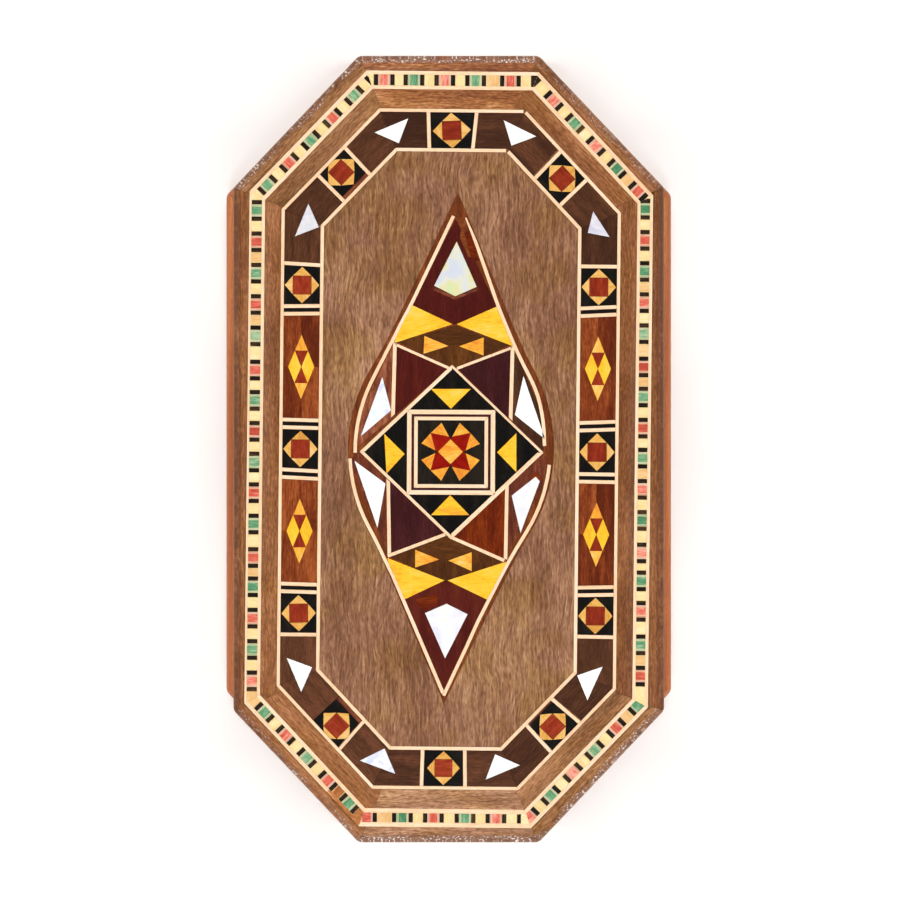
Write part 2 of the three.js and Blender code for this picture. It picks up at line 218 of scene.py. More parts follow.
def area(outline: Outline) -> float:
    """Gives the area inside an outline, positive when it runs counter-clockwise."""
    pairs = zip(outline, outline[1:] + outline[:1])
    return sum(a.x * b.y - b.x * a.y for a, b in pairs) / 2


def shrunk(outline: Outline, distance: float) -> Outline:
    """Moves every edge of a convex outline inwards.

    Args:
        outline: The corners in order.
        distance: How far each edge moves.

    Returns:
        The smaller outline, counter-clockwise.
    """
    corners = outline if area(outline) > 0 else outline[::-1]
    kept = list(corners)
    for i, end in enumerate(corners):
        edge = (end - corners[i - 1]).normalized()
        outward = Vector((edge.y, -edge.x))
        kept = clipped(kept, end - outward * distance, outward)
    return kept


def within(outline: Outline, bounds: Outline) -> Outline:
    """Trims a convex outline to another one.

    Args:
        outline: The corners in order.
        bounds: The corners that it is trimmed to.

    Returns:
        The corners of what lies inside both.
    """
    corners = bounds if area(bounds) > 0 else bounds[::-1]
    kept = outline
    for i, end in enumerate(corners):
        edge = (end - corners[i - 1]).normalized()
        kept = clipped(kept, end, Vector((edge.y, -edge.x)))
    return kept


# ---- Finishes --------------------------------------------------------------------------------


def linear(code: str) -> Colour:
    """Turns an sRGB hex code into a linear colour.

    Args:
        code: Six hex digits.

    Returns:
        The colour, with full alpha.
    """
    channels = [int(code[i : i + 2], 16) / 255 for i in (0, 2, 4)]
    red, green, blue = (c / 12.92 if c <= 0.04045 else ((c + 0.055) / 1.055) ** 2.4 for c in channels)
    return red, green, blue, 1.0


def beyond(start: Colour, end: Colour) -> Colour:
    """Carries the step from one colour to another on once more, as far past its end."""
    red, green, blue = (min(0.85, b * b / a) for a, b in zip(start[:3], end[:3]))
    return red, green, blue, 1.0


def add_node(
    tree: bpy.types.NodeTree,
    kind: str,
    settings: "dict | None" = None,
    links: "dict | None" = None,
) -> bpy.types.Node:
    """Adds a shader node, sets it up and joins it to others.

    Args:
        tree: The node tree it goes into.
        kind: The node's type.
        settings: Values by input socket or by property. "stops" fills a colour ramp.
        links: Output sockets by the input socket that each one feeds.

    Returns:
        The new node.
    """
    node = tree.nodes.new(kind)
    for key, value in (settings or {}).items():
        if key == "stops":
            ramp = node.color_ramp
            while len(ramp.elements) < len(value):
                ramp.elements.new(1.0)
            for element, (position, shade) in zip(ramp.elements, value):
                element.position = position
                element.color = shade
        elif isinstance(key, int) or key in node.inputs:
            node.inputs[key].default_value = value
        else:
            setattr(node, key, value)
    for key, source in (links or {}).items():
        tree.links.new(source, node.inputs[key])
    return node


class Layout(Enum):
    """Where a finish takes its grain from."""

    PIECE = "the grain map of each piece, in millimetres"
    BOX = "the box's own axes, with the grain along it"


MATERIALS: dict[str, bpy.types.Material] = {}


@dataclass(frozen=True)
class Finish:
    """What every finish has: a name and a gloss.

    The shader's own IOR of 1.5 stays: it is that of oil varnish, and near enough to shell's.
    """

    name: str
    roughness: float = 0.4
    coat: float = 0.0
    specular: float = 0.2
    coat_roughness: float = 0.12

    def material(self) -> bpy.types.Material:
        """Gives the finish's material, made the first time that it is asked for.

        Returns:
            The material.
        """
        if self.name not in MATERIALS:
            material = bpy.data.materials.new(self.name)
            material.use_nodes = True
            surface = material.node_tree.nodes["Principled BSDF"]
            surface.inputs["Roughness"].default_value = self.roughness
            surface.inputs["Specular IOR Level"].default_value = self.specular
            surface.inputs["Coat Weight"].default_value = self.coat
            surface.inputs["Coat Roughness"].default_value = self.coat_roughness
            self.paint(material.node_tree, surface)
            MATERIALS[self.name] = material
        return MATERIALS[self.name]

    def paint(self, tree: bpy.types.NodeTree, surface: bpy.types.Node) -> None:
        """Adds the finish's own pattern; each kind of finish has its own."""
        raise NotImplementedError


@dataclass(frozen=True)
class Grain:
    """How coarse a wood's patterns are, in millimetres along and across its grain.

    Real fibres are 0.02 mm wide and real pores 0.1 to 0.2 mm. Both are too fine to show on a lid
    that is seen whole, so they are drawn two to ten times as wide.
    """

    figure: tuple[float, float]
    fibre: tuple[float, float]
    fleck: tuple[float, float] = (1.6, 0.45)
    pore: tuple[float, float] = (2.5, 0.35)
    # How far the figure, the fibres and the flecks each move the wood's tone.
    shares: tuple[float, float, float] = (1.0, 0.7, 0.5)
    # How far the grain sways to either side.
    wander: float = 0.0


# Where in the mixed noise the tones stand: past dark, dark, middle, light and past light.
TONE_STOPS = (0.18, 0.34, 0.5, 0.66, 0.82)
# Where in the noise the pores and the soaked patches start and are full.
PORE_RANGE = (0.56, 0.68)
SOAK_RANGE = (0.42, 0.62)
# The scale of the grain's sway and of the soaked patches, in millimetres.
SWAY_SIZE = 16.0
SOAK_SIZE = 14.0


@dataclass(frozen=True)
class Wood(Finish):
    """Sawn or sliced wood: broad figure, fine fibres and open pores along the grain."""

    # Dark, middle and light.
    tones: tuple[str, str, str] = ("825537", "a07055", "be8c6e")
    pore: str = "5a3a26"
    # How strongly the pores show.
    pores: float = 0.35
    grain: Grain = Grain((16.0, 3.0), (5.0, 0.4))
    # How far chance moves the tone of one piece from the next.
    spread: float = 0.04
    # How deep the fibres and pores are, in millimetres.
    relief: float = 0.02
    # The tint of patches where the oil has soaked in unevenly.
    soak: str = "ffffff"
    layout: Layout = Layout.PIECE

    def place(self, tree: bpy.types.NodeTree) -> bpy.types.NodeSocket:
        """Finds where a point lies in the grain, in millimetres with the grain along X.

        Args:
            tree: The material's node tree.

        Returns:
            The place, swaying a little across the grain where the grain wanders.
        """
        if self.layout is Layout.PIECE:
            place = add_node(tree, "ShaderNodeUVMap", {"uv_map": GRAIN_MAP}).outputs["UV"]
        else:
            source = add_node(tree, "ShaderNodeTexCoord").outputs["Object"]
            turned = {"vector_type": "TEXTURE", "Rotation": (0, 0, math.pi / 2), "Scale": (MM, MM, MM)}
            place = add_node(tree, "ShaderNodeMapping", turned, {"Vector": source}).outputs["Vector"]
        if self.grain.wander == 0:
            return place
        settings = {"Scale": 1 / SWAY_SIZE, "Detail": 1.0}
        sway = add_node(tree, "ShaderNodeTexNoise", settings, {"Vector": place})
        settings = {"operation": "MULTIPLY_ADD", 1: (0, self.grain.wander, 0)}
        links = {0: sway.outputs["Color"], 2: place}
        return add_node(tree, "ShaderNodeVectorMath", settings, links).outputs["Vector"]

    def pattern(
        self,
        tree: bpy.types.NodeTree,
        place: bpy.types.NodeSocket,
        size: tuple[float, float],
        looks: dict[str, float],
    ) -> bpy.types.NodeSocket:
        """Draws a pattern of the wood, stretched along its grain.

        Args:
            tree: The material's node tree.
            place: Where a point lies in the grain.
            size: The pattern's scale along and across the grain, in millimetres.
            looks: How fine and how disturbed it is.

        Returns:
            The pattern's strength, about a half on the whole.
        """
        length, width = size
        settings = {"vector_type": "TEXTURE", "Scale": (length, width, width)}
        spot = add_node(tree, "ShaderNodeMapping", settings, {"Vector": place}).outputs["Vector"]
        return add_node(tree, "ShaderNodeTexNoise", {"Scale": 1.0, **looks}, {"Vector": spot}).outputs["Fac"]

    def paint(self, tree: bpy.types.NodeTree, surface: bpy.types.Node) -> None:
        """Mixes the wood's tones, soaks the oil in and presses the pores in.

        Args:
            tree: The material's node tree.
            surface: Its shader.
        """
        place = self.place(tree)
        figure = self.pattern(tree, place, self.grain.figure, {"Detail": 3.0, "Distortion": 0.4})
        fibres = self.pattern(tree, place, self.grain.fibre, {"Detail": 2.0, "Roughness": 0.6})
        flecks = self.pattern(tree, place, self.grain.fleck, {"Detail": 1.0})
        level = add_node(tree, "ShaderNodeAttribute", {"attribute_name": TONE}).outputs["Fac"]
        for share, pattern in zip(self.grain.shares, (figure, fibres, flecks)):
            centred = add_node(tree, "ShaderNodeMath", {"operation": "SUBTRACT", 1: 0.5}, {0: pattern})
            settings = {"operation": "MULTIPLY_ADD", 1: share}
            level = add_node(tree, "ShaderNodeMath", settings, {0: centred.outputs[0], 2: level}).outputs[0]
        toned = add_node(tree, "ShaderNodeMath", {"operation": "ADD", 1: 0.5}, {0: level})
        dark, middle, light = (linear(tone) for tone in self.tones)
        colours = (beyond(middle, dark), dark, middle, light, beyond(middle, light))
        settings = {"stops": list(zip(TONE_STOPS, colours))}
        wood = add_node(tree, "ShaderNodeValToRGB", settings, {"Fac": toned.outputs[0]})
        holes = self.pattern(tree, place, self.grain.pore, {"Detail": 1.0})
        settings = {"From Min": PORE_RANGE[0], "From Max": PORE_RANGE[1], "To Max": self.pores}
        pores = add_node(tree, "ShaderNodeMapRange", settings, {"Value": holes}).outputs["Result"]
        settings = {"data_type": "RGBA", 7: linear(self.pore)}
        porous = add_node(tree, "ShaderNodeMix", settings, {0: pores, 6: wood.outputs["Color"]})
        settings = {"Scale": 1 / SOAK_SIZE, "Detail": 2.0}
        clouds = add_node(tree, "ShaderNodeTexNoise", settings, {"Vector": place})
        settings = {"From Min": SOAK_RANGE[0], "From Max": SOAK_RANGE[1]}
        soaked = add_node(tree, "ShaderNodeMapRange", settings, {"Value": clouds.outputs["Fac"]})
        settings = {"data_type": "RGBA", "blend_type": "MULTIPLY", 7: linear(self.soak)}
        links = {0: soaked.outputs["Result"], 6: porous.outputs[2]}
        oiled = add_node(tree, "ShaderNodeMix", settings, links)
        tree.links.new(oiled.outputs[2], surface.inputs["Base Color"])
        height = add_node(tree, "ShaderNodeMath", {"operation": "SUBTRACT"}, {0: fibres, 1: pores})
        settings = {"Strength": 1.0, "Distance": self.relief * MM}
        bump = add_node(tree, "ShaderNodeBump", settings, {"Height": height.outputs[0]})
        tree.links.new(bump.outputs["Normal"], surface.inputs["Normal"])


@dataclass(frozen=True)
class Patches:
    """A layer of patches on a rounded edge, such as dark bruises, a painted sheen and painted glints: its
    colour, the size of its patches and where in the noise they show.
    """

    shade: str
    size: tuple[float, float]
    start: float
    full: float


@dataclass(frozen=True)
class GlintAndWearWood(Wood):
    """Wood with a painted sheen and painted glints, among dark bruises, along its rounded outer edge, where
    the lamps catch its varnish.
    """

    # Dark bruises, then a greyish painted sheen and pale painted glints where the lamps catch the edge;
    # sizes in millimetres.
    bruised: Patches = Patches("4c2f22", (2.6, 0.45), 0.54, 0.66)
    painted_sheen: Patches = Patches("7d5a49", (7.0, 1.3), 0.38, 0.6)
    painted_glints: Patches = Patches("e2d6cc", (0.7, 0.3), 0.55, 0.63)

    def paint(self, tree: bpy.types.NodeTree, surface: bpy.types.Node) -> None:
        """Lays dark bruises over the edge, then patches of painted sheen, then painted glints inside those.

        Args:
            tree: The material's node tree.
            surface: Its shader.
        """
        super().paint(tree, surface)
        wood = surface.inputs["Base Color"].links[0].from_socket
        share = add_node(tree, "ShaderNodeAttribute", {"attribute_name": GLINT_AND_WEAR}).outputs["Fac"]
        place = self.place(tree)
        # The sheen and the glints are painted highlights; the glints lie only inside the sheen.
        for layer in (self.bruised, self.painted_sheen, self.painted_glints):
            noise = self.pattern(tree, place, layer.size, {"Detail": 2.0})
            settings = {"From Min": layer.start, "From Max": layer.full}
            shown = add_node(tree, "ShaderNodeMapRange", settings, {0: noise}).outputs["Result"]
            laid = add_node(tree, "ShaderNodeMath", {"operation": "MULTIPLY"}, {0: shown, 1: share})
            settings = {"data_type": "RGBA", 7: linear(layer.shade)}
            wood = add_node(tree, "ShaderNodeMix", settings, {0: laid.outputs[0], 6: wood}).outputs[2]
            if layer is self.painted_sheen:
                share = laid.outputs[0]
        tree.links.new(wood, surface.inputs["Base Color"])


@dataclass(frozen=True)
class Pearl(Finish):
    """Sliced and polished shell: white, with soft clouds of colour in faint growth layers."""

    roughness: float = 0.2
    coat: float = 0.2
    specular: float = 0.4
    shades: tuple[str, ...] = ("dcdbe6", "e8e6e8", "ecebe6", "e6e6da", "d6dfe4")
    # Where in the noise each shade stands.
    stops: tuple[float, ...] = (0.32, 0.44, 0.52, 0.6, 0.7)
    # The size of the clouds, in millimetres.
    clouds: float = 7.0

    def paint(self, tree: bpy.types.NodeTree, surface: bpy.types.Node) -> None:
        """Mixes the shell's clouds.

        Args:
            tree: The material's node tree.
            surface: Its shader.
        """
        place = add_node(tree, "ShaderNodeTexCoord").outputs["Object"]
        settings = {"Scale": 1 / (self.clouds * MM), "Detail": 2.0, "Distortion": 1.2}
        cloud = add_node(tree, "ShaderNodeTexNoise", settings, {"Vector": place})
        stops = [(stop, linear(shade)) for stop, shade in zip(self.stops, self.shades)]
        colour = add_node(tree, "ShaderNodeValToRGB", {"stops": stops}, {"Fac": cloud.outputs["Fac"]})
        tree.links.new(colour.outputs["Color"], surface.inputs["Base Color"])


@dataclass(frozen=True)
class Sheet(Finish):
    """A plain painted sheet with a faint mottle."""

    shade: str = "f4f3f1"
    mottled: str = "fbfaf8"
    # How many mottles there are to a metre.
    mottles: float = 30.0

    def paint(self, tree: bpy.types.NodeTree, surface: bpy.types.Node) -> None:
        """Mottles the sheet's paint.

        Args:
            tree: The material's node tree.
            surface: Its shader.
        """
        place = add_node(tree, "ShaderNodeTexCoord").outputs["Object"]
        mottle = add_node(tree, "ShaderNodeTexNoise", {"Scale": self.mottles}, {"Vector": place})
        settings = {"data_type": "RGBA", 6: linear(self.shade), 7: linear(self.mottled)}
        mixed = add_node(tree, "ShaderNodeMix", settings, {0: mottle.outputs["Fac"]})
        tree.links.new(mixed.outputs[2], surface.inputs["Base Color"])


FRAME_GRAIN = Grain((40.0, 6.0), (6.0, 0.5), (1.5, 0.45), (2.4, 0.4), (0.8, 0.75, 0.6), 2.4)
FIELD_GRAIN = Grain((40.0, 16.0), (7.0, 0.7), (1.8, 0.5), (2.6, 0.45), (0.5, 0.75, 0.45), 4.0)
DYED_TILE_GRAIN = Grain((4.0, 1.5), (2.0, 0.25))
PALE_TILE_GRAIN = Grain((10.0, 2.0), (3.0, 0.25))
STAR_GRAIN = Grain((6.0, 1.6), (3.0, 0.3))

# Light walnut, planed, sanded and oiled: satin, with wavy figure and short open pores.
FIELD_WALNUT = Wood(
    "oiled_walnut_panel", 0.38, tones=("6b4631", "835b43", "9c7356"), pore="533323", pores=0.6,
    grain=FIELD_GRAIN, relief=0.03, soak="f3f3d2", layout=Layout.BOX,
)
# Walnut, moulded and oiled by hand: a duller satin, its rounded edge with painted sheen and glints among
# dark bruises.
FRAME_WALNUT = GlintAndWearWood(
    "oiled_walnut_frame", 0.42, specular=0.12, tones=("734528", "875635", "9b6743"), pore="54321c",
    pores=0.55, grain=FRAME_GRAIN, relief=0.04, soak="f3f1dc",
)
# The same walnut, lighter and a little redder, for the back board.
BACK_WALNUT = replace(
    FRAME_WALNUT, name="oiled_walnut_frame_back", tones=("75442c", "8f5937", "aa734d")
)
# The same walnut, much lighter and paler, for the front board.
FRONT_WALNUT = replace(
    FRAME_WALNUT, name="oiled_walnut_frame_front", tones=("8b6248", "a5795c", "c09374")
)
# The same walnut, a little greyer, for the back left and front right boards.
GREYER_WALNUT = replace(
    FRAME_WALNUT, name="oiled_walnut_frame_faded", tones=("764c2e", "8b5f3d", "a0714e")
)
# Sliced walnut veneer, scraped and oiled: satin, in long quiet stripes.
WALL_WALNUT = Wood(
    "oiled_walnut_veneer", 0.36, tones=("6a432b", "80573e", "94694c"), pore="50311e", pores=0.45,
    grain=Grain((120.0, 10.0), (12.0, 0.6)),
)
# Planed beech, stained and oiled: an even orange brown, with close straight grain.
PLINTH_WOOD = Wood(
    "oiled_beech_plinth", tones=("985226", "a55a2c", "b16835"), pore="86451f", pores=0.3,
    grain=Grain((90.0, 5.0), (8.0, 0.5)),
)
# Lemonwood, sawn in threads and scraped flush: pale and even, with next to no pores.
CREAM_LINE = Wood(
    "lemonwood_stringing", tones=("dcb590", "e6c09c", "e6c6a7"), pore="d2a77e", pores=0.25,
    grain=Grain((25.0, 2.0), (4.0, 0.25)),
)
# The same wood sawn across a glued stick: each tile shows a slightly other pale yellow.
CREAM_TILE = Wood(
    "lemonwood_tile", tones=("d7bb83", "dcc38a", "dec896"), pore="d0b179", pores=0.2,
    grain=PALE_TILE_GRAIN, spread=0.08,
)
# The same tiles where old varnish has turned them tan.
ORANGE_CREAM = Wood(
    "lemonwood_tile_darkened", tones=("cc9e66", "d3a86f", "d8b17e"), pore="c2945c", pores=0.2,
    grain=PALE_TILE_GRAIN, spread=0.06,
)
# Sawdust and glue, pressed into a gap and sanded: mottled, with no real grain.
FILLER = Wood(
    "orange_brown_filler", tones=("8a4f28", "9f6033", "b27645"), pore="6e3d1d", pores=0.2,
    grain=Grain((4.0, 2.0), (1.5, 0.6)), spread=0.03,
)
# Pearwood, stained through with iron and scraped: a close, soft black.
BLACK_WOOD = Wood(
    "ebonised_pearwood", 0.34, tones=("080706", "0c0a08", "15110d"), pore="050404", pores=0.3,
    grain=Grain((12.0, 3.0), (3.0, 0.25)), spread=0.03,
)
# Pearwood stained less deeply: its brown shows through in thin slips.
DARK_SLIP = Wood(
    "dark_stained_pearwood", 0.36, tones=("180f08", "241810", "352416"), pore="110b06", pores=0.2,
    grain=DYED_TILE_GRAIN, spread=0.1,
)
# Poplar, dyed in the bath and sawn in tiles: the dye takes unevenly, so no two tiles are alike.
GREEN_TILE = Wood(
    "green_dyed_poplar", tones=("497b57", "588b64", "759b75"), pore="3f714d", pores=0.2,
    grain=DYED_TILE_GRAIN, spread=0.12,
)
# The thin slips beside it, where the green has bled into cream wood.
MINT_TILE = Wood(
    "pale_green_poplar", tones=("92a784", "a5b291", "b4b79b"), pore="8a9c7b", pores=0.15,
    grain=DYED_TILE_GRAIN, spread=0.12,
)
# The same poplar in a red bath.
RED_TILE = Wood(
    "red_dyed_poplar", tones=("b34b3b", "c55a48", "d07562"), pore="a8422f", pores=0.2,
    grain=DYED_TILE_GRAIN, spread=0.12,
)
# The thin slips beside it, where the red has bled.
PINK_TILE = Wood(
    "pale_red_poplar", tones=("c58b7a", "cb9c8e", "cba89c"), pore="bd7f6f", pores=0.15,
    grain=DYED_TILE_GRAIN, spread=0.12,
)
# Boxwood, dyed a dull yellow and scraped: close and waxy.
STAR_YELLOW = Wood(
    "yellow_dyed_boxwood", 0.36, tones=("c38d42", "ce9c4d", "d2a560"), pore="b9823a", pores=0.3,
    grain=Grain((8.0, 1.6), (3.0, 0.3)), spread=0.08,
)
# Beech, dyed red and scraped: its short rays show as darker flecks.
STAR_RED = Wood(
    "red_dyed_beech", 0.36, tones=("73200d", "7f2712", "8a3018"), pore="651b0c", pores=0.3,
    grain=STAR_GRAIN, spread=0.08,
)
# The same beech in a stronger bath, for the rosette.
RED_ROSETTE = Wood(
    "scarlet_dyed_beech", 0.34, tones=("740701", "7e0b02", "851003"), pore="640501", pores=0.3,
    grain=STAR_GRAIN, spread=0.08,
)
# Boxwood, dyed a bright yellow and varnished: the cleanest colour on the lid, in broad ripples.
BRIGHT_YELLOW = Wood(
    "bright_yellow_boxwood", 0.34, tones=("dd9a2a", "e5ad23", "e7b33a"), pore="d2891d", pores=0.25,
    grain=Grain((9.0, 4.0), (3.0, 0.3)), spread=0.03,
)
# The same boxwood, dyed orange.
ORANGE = Wood(
    "orange_dyed_boxwood", 0.34, tones=("d3872d", "de9c33", "e2a94d"), pore="c37a25", pores=0.25,
    grain=Grain((6.0, 3.0), (3.0, 0.3)), spread=0.06,
)
# Beech veneer, dyed maroon and varnished: deep and even.
MAROON = Wood("maroon_dyed_beech", 0.34, tones=("3d0e0a", "44110c", "4c170f"), pore="350a08")
# Sliced rosewood, varnished: almost black, with a purple cast.
PURPLE = Wood("rosewood_veneer", 0.34, tones=("311011", "371315", "40191a"), pore="290d0e")
# Sliced padauk, varnished: a warm red brown, streaked along the grain.
RUSSET = Wood("padauk_veneer", 0.34, tones=("4d1502", "5a1a03", "692505"), pore="3f1002")
# Mahogany, quarter-sawn and varnished: red brown, each board of the four of its own tone.
LOZENGE_WOOD = Wood(
    "mahogany_quarter", 0.34, tones=("5c230c", "6d2e12", "7f3c1a"), pore="4a1c09",
    grain=Grain((14.0, 2.5), (4.0, 0.4)), spread=0.06,
)
# Dark walnut, sawn thick and varnished: brown black, with faint stripes.
CORNER_WOOD = Wood(
    "dark_walnut_block", 0.34, tones=("3a2013", "442717", "512f1d"), pore="2f180e",
    grain=Grain((18.0, 3.0), (5.0, 0.4)), spread=0.05,
)
# Walnut from near the root, sliced and oiled: a red edging with short grain.
EDGING = Wood(
    "walnut_edging", 0.36, tones=("562710", "652f11", "753b1a"), pore="3e1c08",
    grain=Grain((14.0, 2.0), (4.0, 0.4)),
)
# Reddish walnut veneer, oiled: the ground round the side shells.
SIDE_GROUND = Wood(
    "reddish_walnut_ground", 0.36, tones=("59291a", "6b3521", "80472f"), pore="3e1d12",
    grain=Grain((12.0, 2.0), (4.0, 0.3)),
)
# Brown walnut veneer, oiled: the ground between the yellow triangles.
BROWN_GROUND = Wood(
    "brown_walnut_ground", 0.36, tones=("3f1f09", "48260b", "542e0f"), pore="331b07",
    grain=Grain((10.0, 2.0), (4.0, 0.3)), spread=0.06,
)
# River shell, sliced, ground flat and polished: glossy white, warm and cool by turns.
WHITE_PEARL = Pearl("white_mother_of_pearl", shades=("dddce0", "e4e4e3", "e8e8e4", "e6e5dc", "dfe2e2"))
# A greyer slice.
PALE_PEARL = Pearl("pale_mother_of_pearl", shades=("cecdd6", "d8d6da", "dddbdb", "dad9d3", "d3d8da"))
# A slice cut across the layers, which throws less light upwards.
SILVER_PEARL = Pearl(
    "silver_mother_of_pearl", shades=("b9b5c6", "c5c2cb", "cdcace", "c8c4c4", "bfc6cf"), clouds=5.0
)
# A slice with blue and violet in its layers.
LAVENDER_PEARL = Pearl(
    "lavender_mother_of_pearl", shades=("b9bfdf", "c9cbe0", "d9d9e0", "dddcdc", "c6d6e6"), clouds=4.0
)
# A slice with gold and green in its layers.
GOLD_PEARL = Pearl(
    "gold_mother_of_pearl", shades=("bcc0cb", "c8c8bc", "cac7a6", "cac596", "bfc998"), clouds=6.0
)
# Card, painted matt white: no gloss, and hardly any texture.
FLOOR_SHEET = Sheet("matt_white_sheet", 0.9)


# ---- Bench -----------------------------------------------------------------------------------


# A pattern tile is a millimetre square, and its copies are about three millimetres across.
TILE_GRAIN_SPAN = 3
# How much larger than a piece the sheet is that it is sawn from.
SHEET_MARGIN = 1.1
# Shading: how far up or down the faces of a rounded edge look, the least area of a flat face,
# in square metres, and the widest angle that is shaded as round.
ROUNDED = (0.01, 0.999)
FLAT_AREA = 2e-5
SOFT_ANGLE = math.radians(28)


class Bench:
    """Saws, bends, copies and glues up the pieces."""

    def __init__(self, nodes: dict[str, bpy.types.Object], seed: int) -> None:
        """Sets up the bench.

        Args:
            nodes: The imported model's objects by name.
            seed: What every chance choice starts from.
        """
        self.nodes = nodes
        self.chance = random.Random(seed)
        self.patterns: dict[str, bpy.types.Object] = {}

    def sawn_from(self) -> tuple[float, float]:
        """Chooses where in its log a piece is sawn from, along the grain and across it."""
        return self.chance.uniform(-LOG_LENGTH, LOG_LENGTH), self.chance.uniform(-LOG_LENGTH, LOG_LENGTH)

    def alone(self, piece: bpy.types.Object) -> None:
        """Selects one piece and nothing else.

        Args:
            piece: The piece.
        """
        bpy.ops.object.select_all(action="DESELECT")
        piece.select_set(True)
        bpy.context.view_layer.objects.active = piece

    def grained(self, piece: bpy.types.Object, grain: float, tone: "float | None", spread: float) -> None:
        """Lays the grain of a piece and gives it a tone of its own.

        Args:
            piece: The piece.
            grain: The direction of its grain, in degrees.
            tone: How much lighter it is than the finish, or None for chance.
            spread: How far chance tones spread.
        """
        mesh = piece.data
        cos, sin = math.cos(math.radians(grain)), math.sin(math.radians(grain))
        shift_u, shift_v = self.sawn_from()
        layer = mesh.uv_layers.new(name=GRAIN_MAP)
        for loop in mesh.loops:
            x, y, z = mesh.vertices[loop.vertex_index].co / MM
            layer.data[loop.index].uv = (x * cos + y * sin + shift_u, y * cos - x * sin - z + shift_v)
        chosen = self.chance.gauss(0, spread) if tone is None else tone
        tones = mesh.attributes.new(TONE, "FLOAT", "FACE")
        tones.data.foreach_set("value", [chosen] * len(mesh.polygons))

    def thickened(self, piece: bpy.types.Object, thickness: float) -> None:
        """Gives a flat sheet its thickness, downwards.

        Args:
            piece: The sheet, which is the active object.
            thickness: How thick it gets.
        """
        bpy.ops.object.mode_set(mode="EDIT")
        bpy.ops.mesh.select_all(action="SELECT")
        down = {"value": (0, 0, -thickness * MM)}
        bpy.ops.mesh.extrude_region_move(TRANSFORM_OT_translate=down)
        bpy.ops.mesh.select_all(action="SELECT")
        bpy.ops.mesh.normals_make_consistent(inside=False)
        bpy.ops.object.mode_set(mode="OBJECT")

    def sawn(
        self,
        outline: Outline,
        finish: Wood,
        bottom: float = FIELD_TOP,
        top: float = LID_TOP,
        grain: float = 90.0,
        tone: "float | None" = None,
    ) -> bpy.types.Object:
        """Saws a straight-edged piece out of a sheet.

        Args:
            outline: Its corners in order; the outline is convex.
            finish: Its wood.
            bottom: The height of its underside.
            top: The height of its top.
            grain: The direction of its grain, in degrees.
            tone: How much lighter it is than the finish, or None for chance.

        Returns:
            The piece.
        """
        corners = shrunk(outline, JOINT)
        middle = sum(corners, Vector((0, 0))) / len(corners)
        reach = max((corner - middle).length for corner in corners) * SHEET_MARGIN
        bpy.ops.object.select_all(action="DESELECT")
        bpy.ops.mesh.primitive_plane_add(
            size=2 * reach * MM, calc_uvs=False, location=(middle.x * MM, middle.y * MM, top * MM)
        )
        piece = bpy.context.object
        bpy.ops.object.transform_apply(location=True, rotation=True, scale=True)
        bpy.ops.object.mode_set(mode="EDIT")
        for i, end in enumerate(corners):
            edge = (end - corners[i - 1]).normalized()
            bpy.ops.mesh.select_all(action="SELECT")
            bpy.ops.mesh.bisect(
                plane_co=(end.x * MM, end.y * MM, 0),
                plane_no=(edge.y, -edge.x, 0),
                clear_outer=True,
                threshold=CUT_THRESHOLD,
            )
        bpy.ops.object.mode_set(mode="OBJECT")
        self.thickened(piece, top - bottom)
        self.grained(piece, grain, tone, finish.spread)
        piece.data.materials.append(finish.material())
        return piece

    def bent(
        self,
        path: Outline,
        widths: list[float],
        finish: Wood,
        bottom: float = GROUND_TOP,
        top: float = LID_TOP,
    ) -> bpy.types.Object:
        """Bends a thin strip along a marked line.

        Args:
            path: The points that its middle follows.
            widths: Its width at each of them.
            finish: Its wood.
            bottom: The height of its underside.
            top: The height of its top.

        Returns:
            The strip.
        """
        count = len(path)
        bpy.ops.object.select_all(action="DESELECT")
        bpy.ops.mesh.primitive_grid_add(
            x_subdivisions=count - 1, y_subdivisions=1, size=MM, calc_uvs=False, location=(0, 0, top * MM)
        )
        strip = bpy.context.object
        bpy.ops.object.transform_apply(location=True, rotation=True, scale=True)
        for i, vertex in enumerate(strip.data.vertices):
            step, edge = i % count, (-1 if i < count else 1)
            run = (path[min(step + 1, count - 1)] - path[max(step - 1, 0)]).normalized()
            spot = path[step] + Vector((-run.y, run.x)) * (edge * widths[step] / 2)
            vertex.co.xy = spot * MM
        self.thickened(strip, top - bottom)
        ends = path[-1] - path[0]
        self.grained(strip, math.degrees(math.atan2(ends.y, ends.x)), None, finish.spread)
        strip.data.materials.append(finish.material())
        return strip

    def tile(
        self, finish: Wood, matrix: Matrix, bottom: float = FIELD_TOP, top: float = LID_TOP
    ) -> bpy.types.Object:
        """Copies the finish's pattern tile, a millimetre square, to where a tile lies.

        Args:
            finish: The tile's wood.
            matrix: Where the copy lies and how large it is.
            bottom: The height of its underside.
            top: The height of its top.

        Returns:
            The copy.
        """
        if finish.name not in self.patterns:
            square = [Vector(c) for c in ((-0.5, -0.5), (0.5, -0.5), (0.5, 0.5), (-0.5, 0.5))]
            pattern = self.sawn(shrunk(square, -JOINT), finish, bottom, top, 0.0, 0.0)
            self.patterns[finish.name] = pattern
        pattern = self.patterns[finish.name]
        copy = pattern.copy()
        copy.data = pattern.data.copy()
        bpy.context.scene.collection.objects.link(copy)
        copy.data.transform(matrix)
        shift = Vector(self.sawn_from())
        for corner in copy.data.uv_layers[GRAIN_MAP].data:
            corner.uv = corner.uv * TILE_GRAIN_SPAN + shift
        tones = [self.chance.gauss(0, finish.spread)] * len(copy.data.polygons)
        copy.data.attributes[TONE].data.foreach_set("value", tones)
        return copy

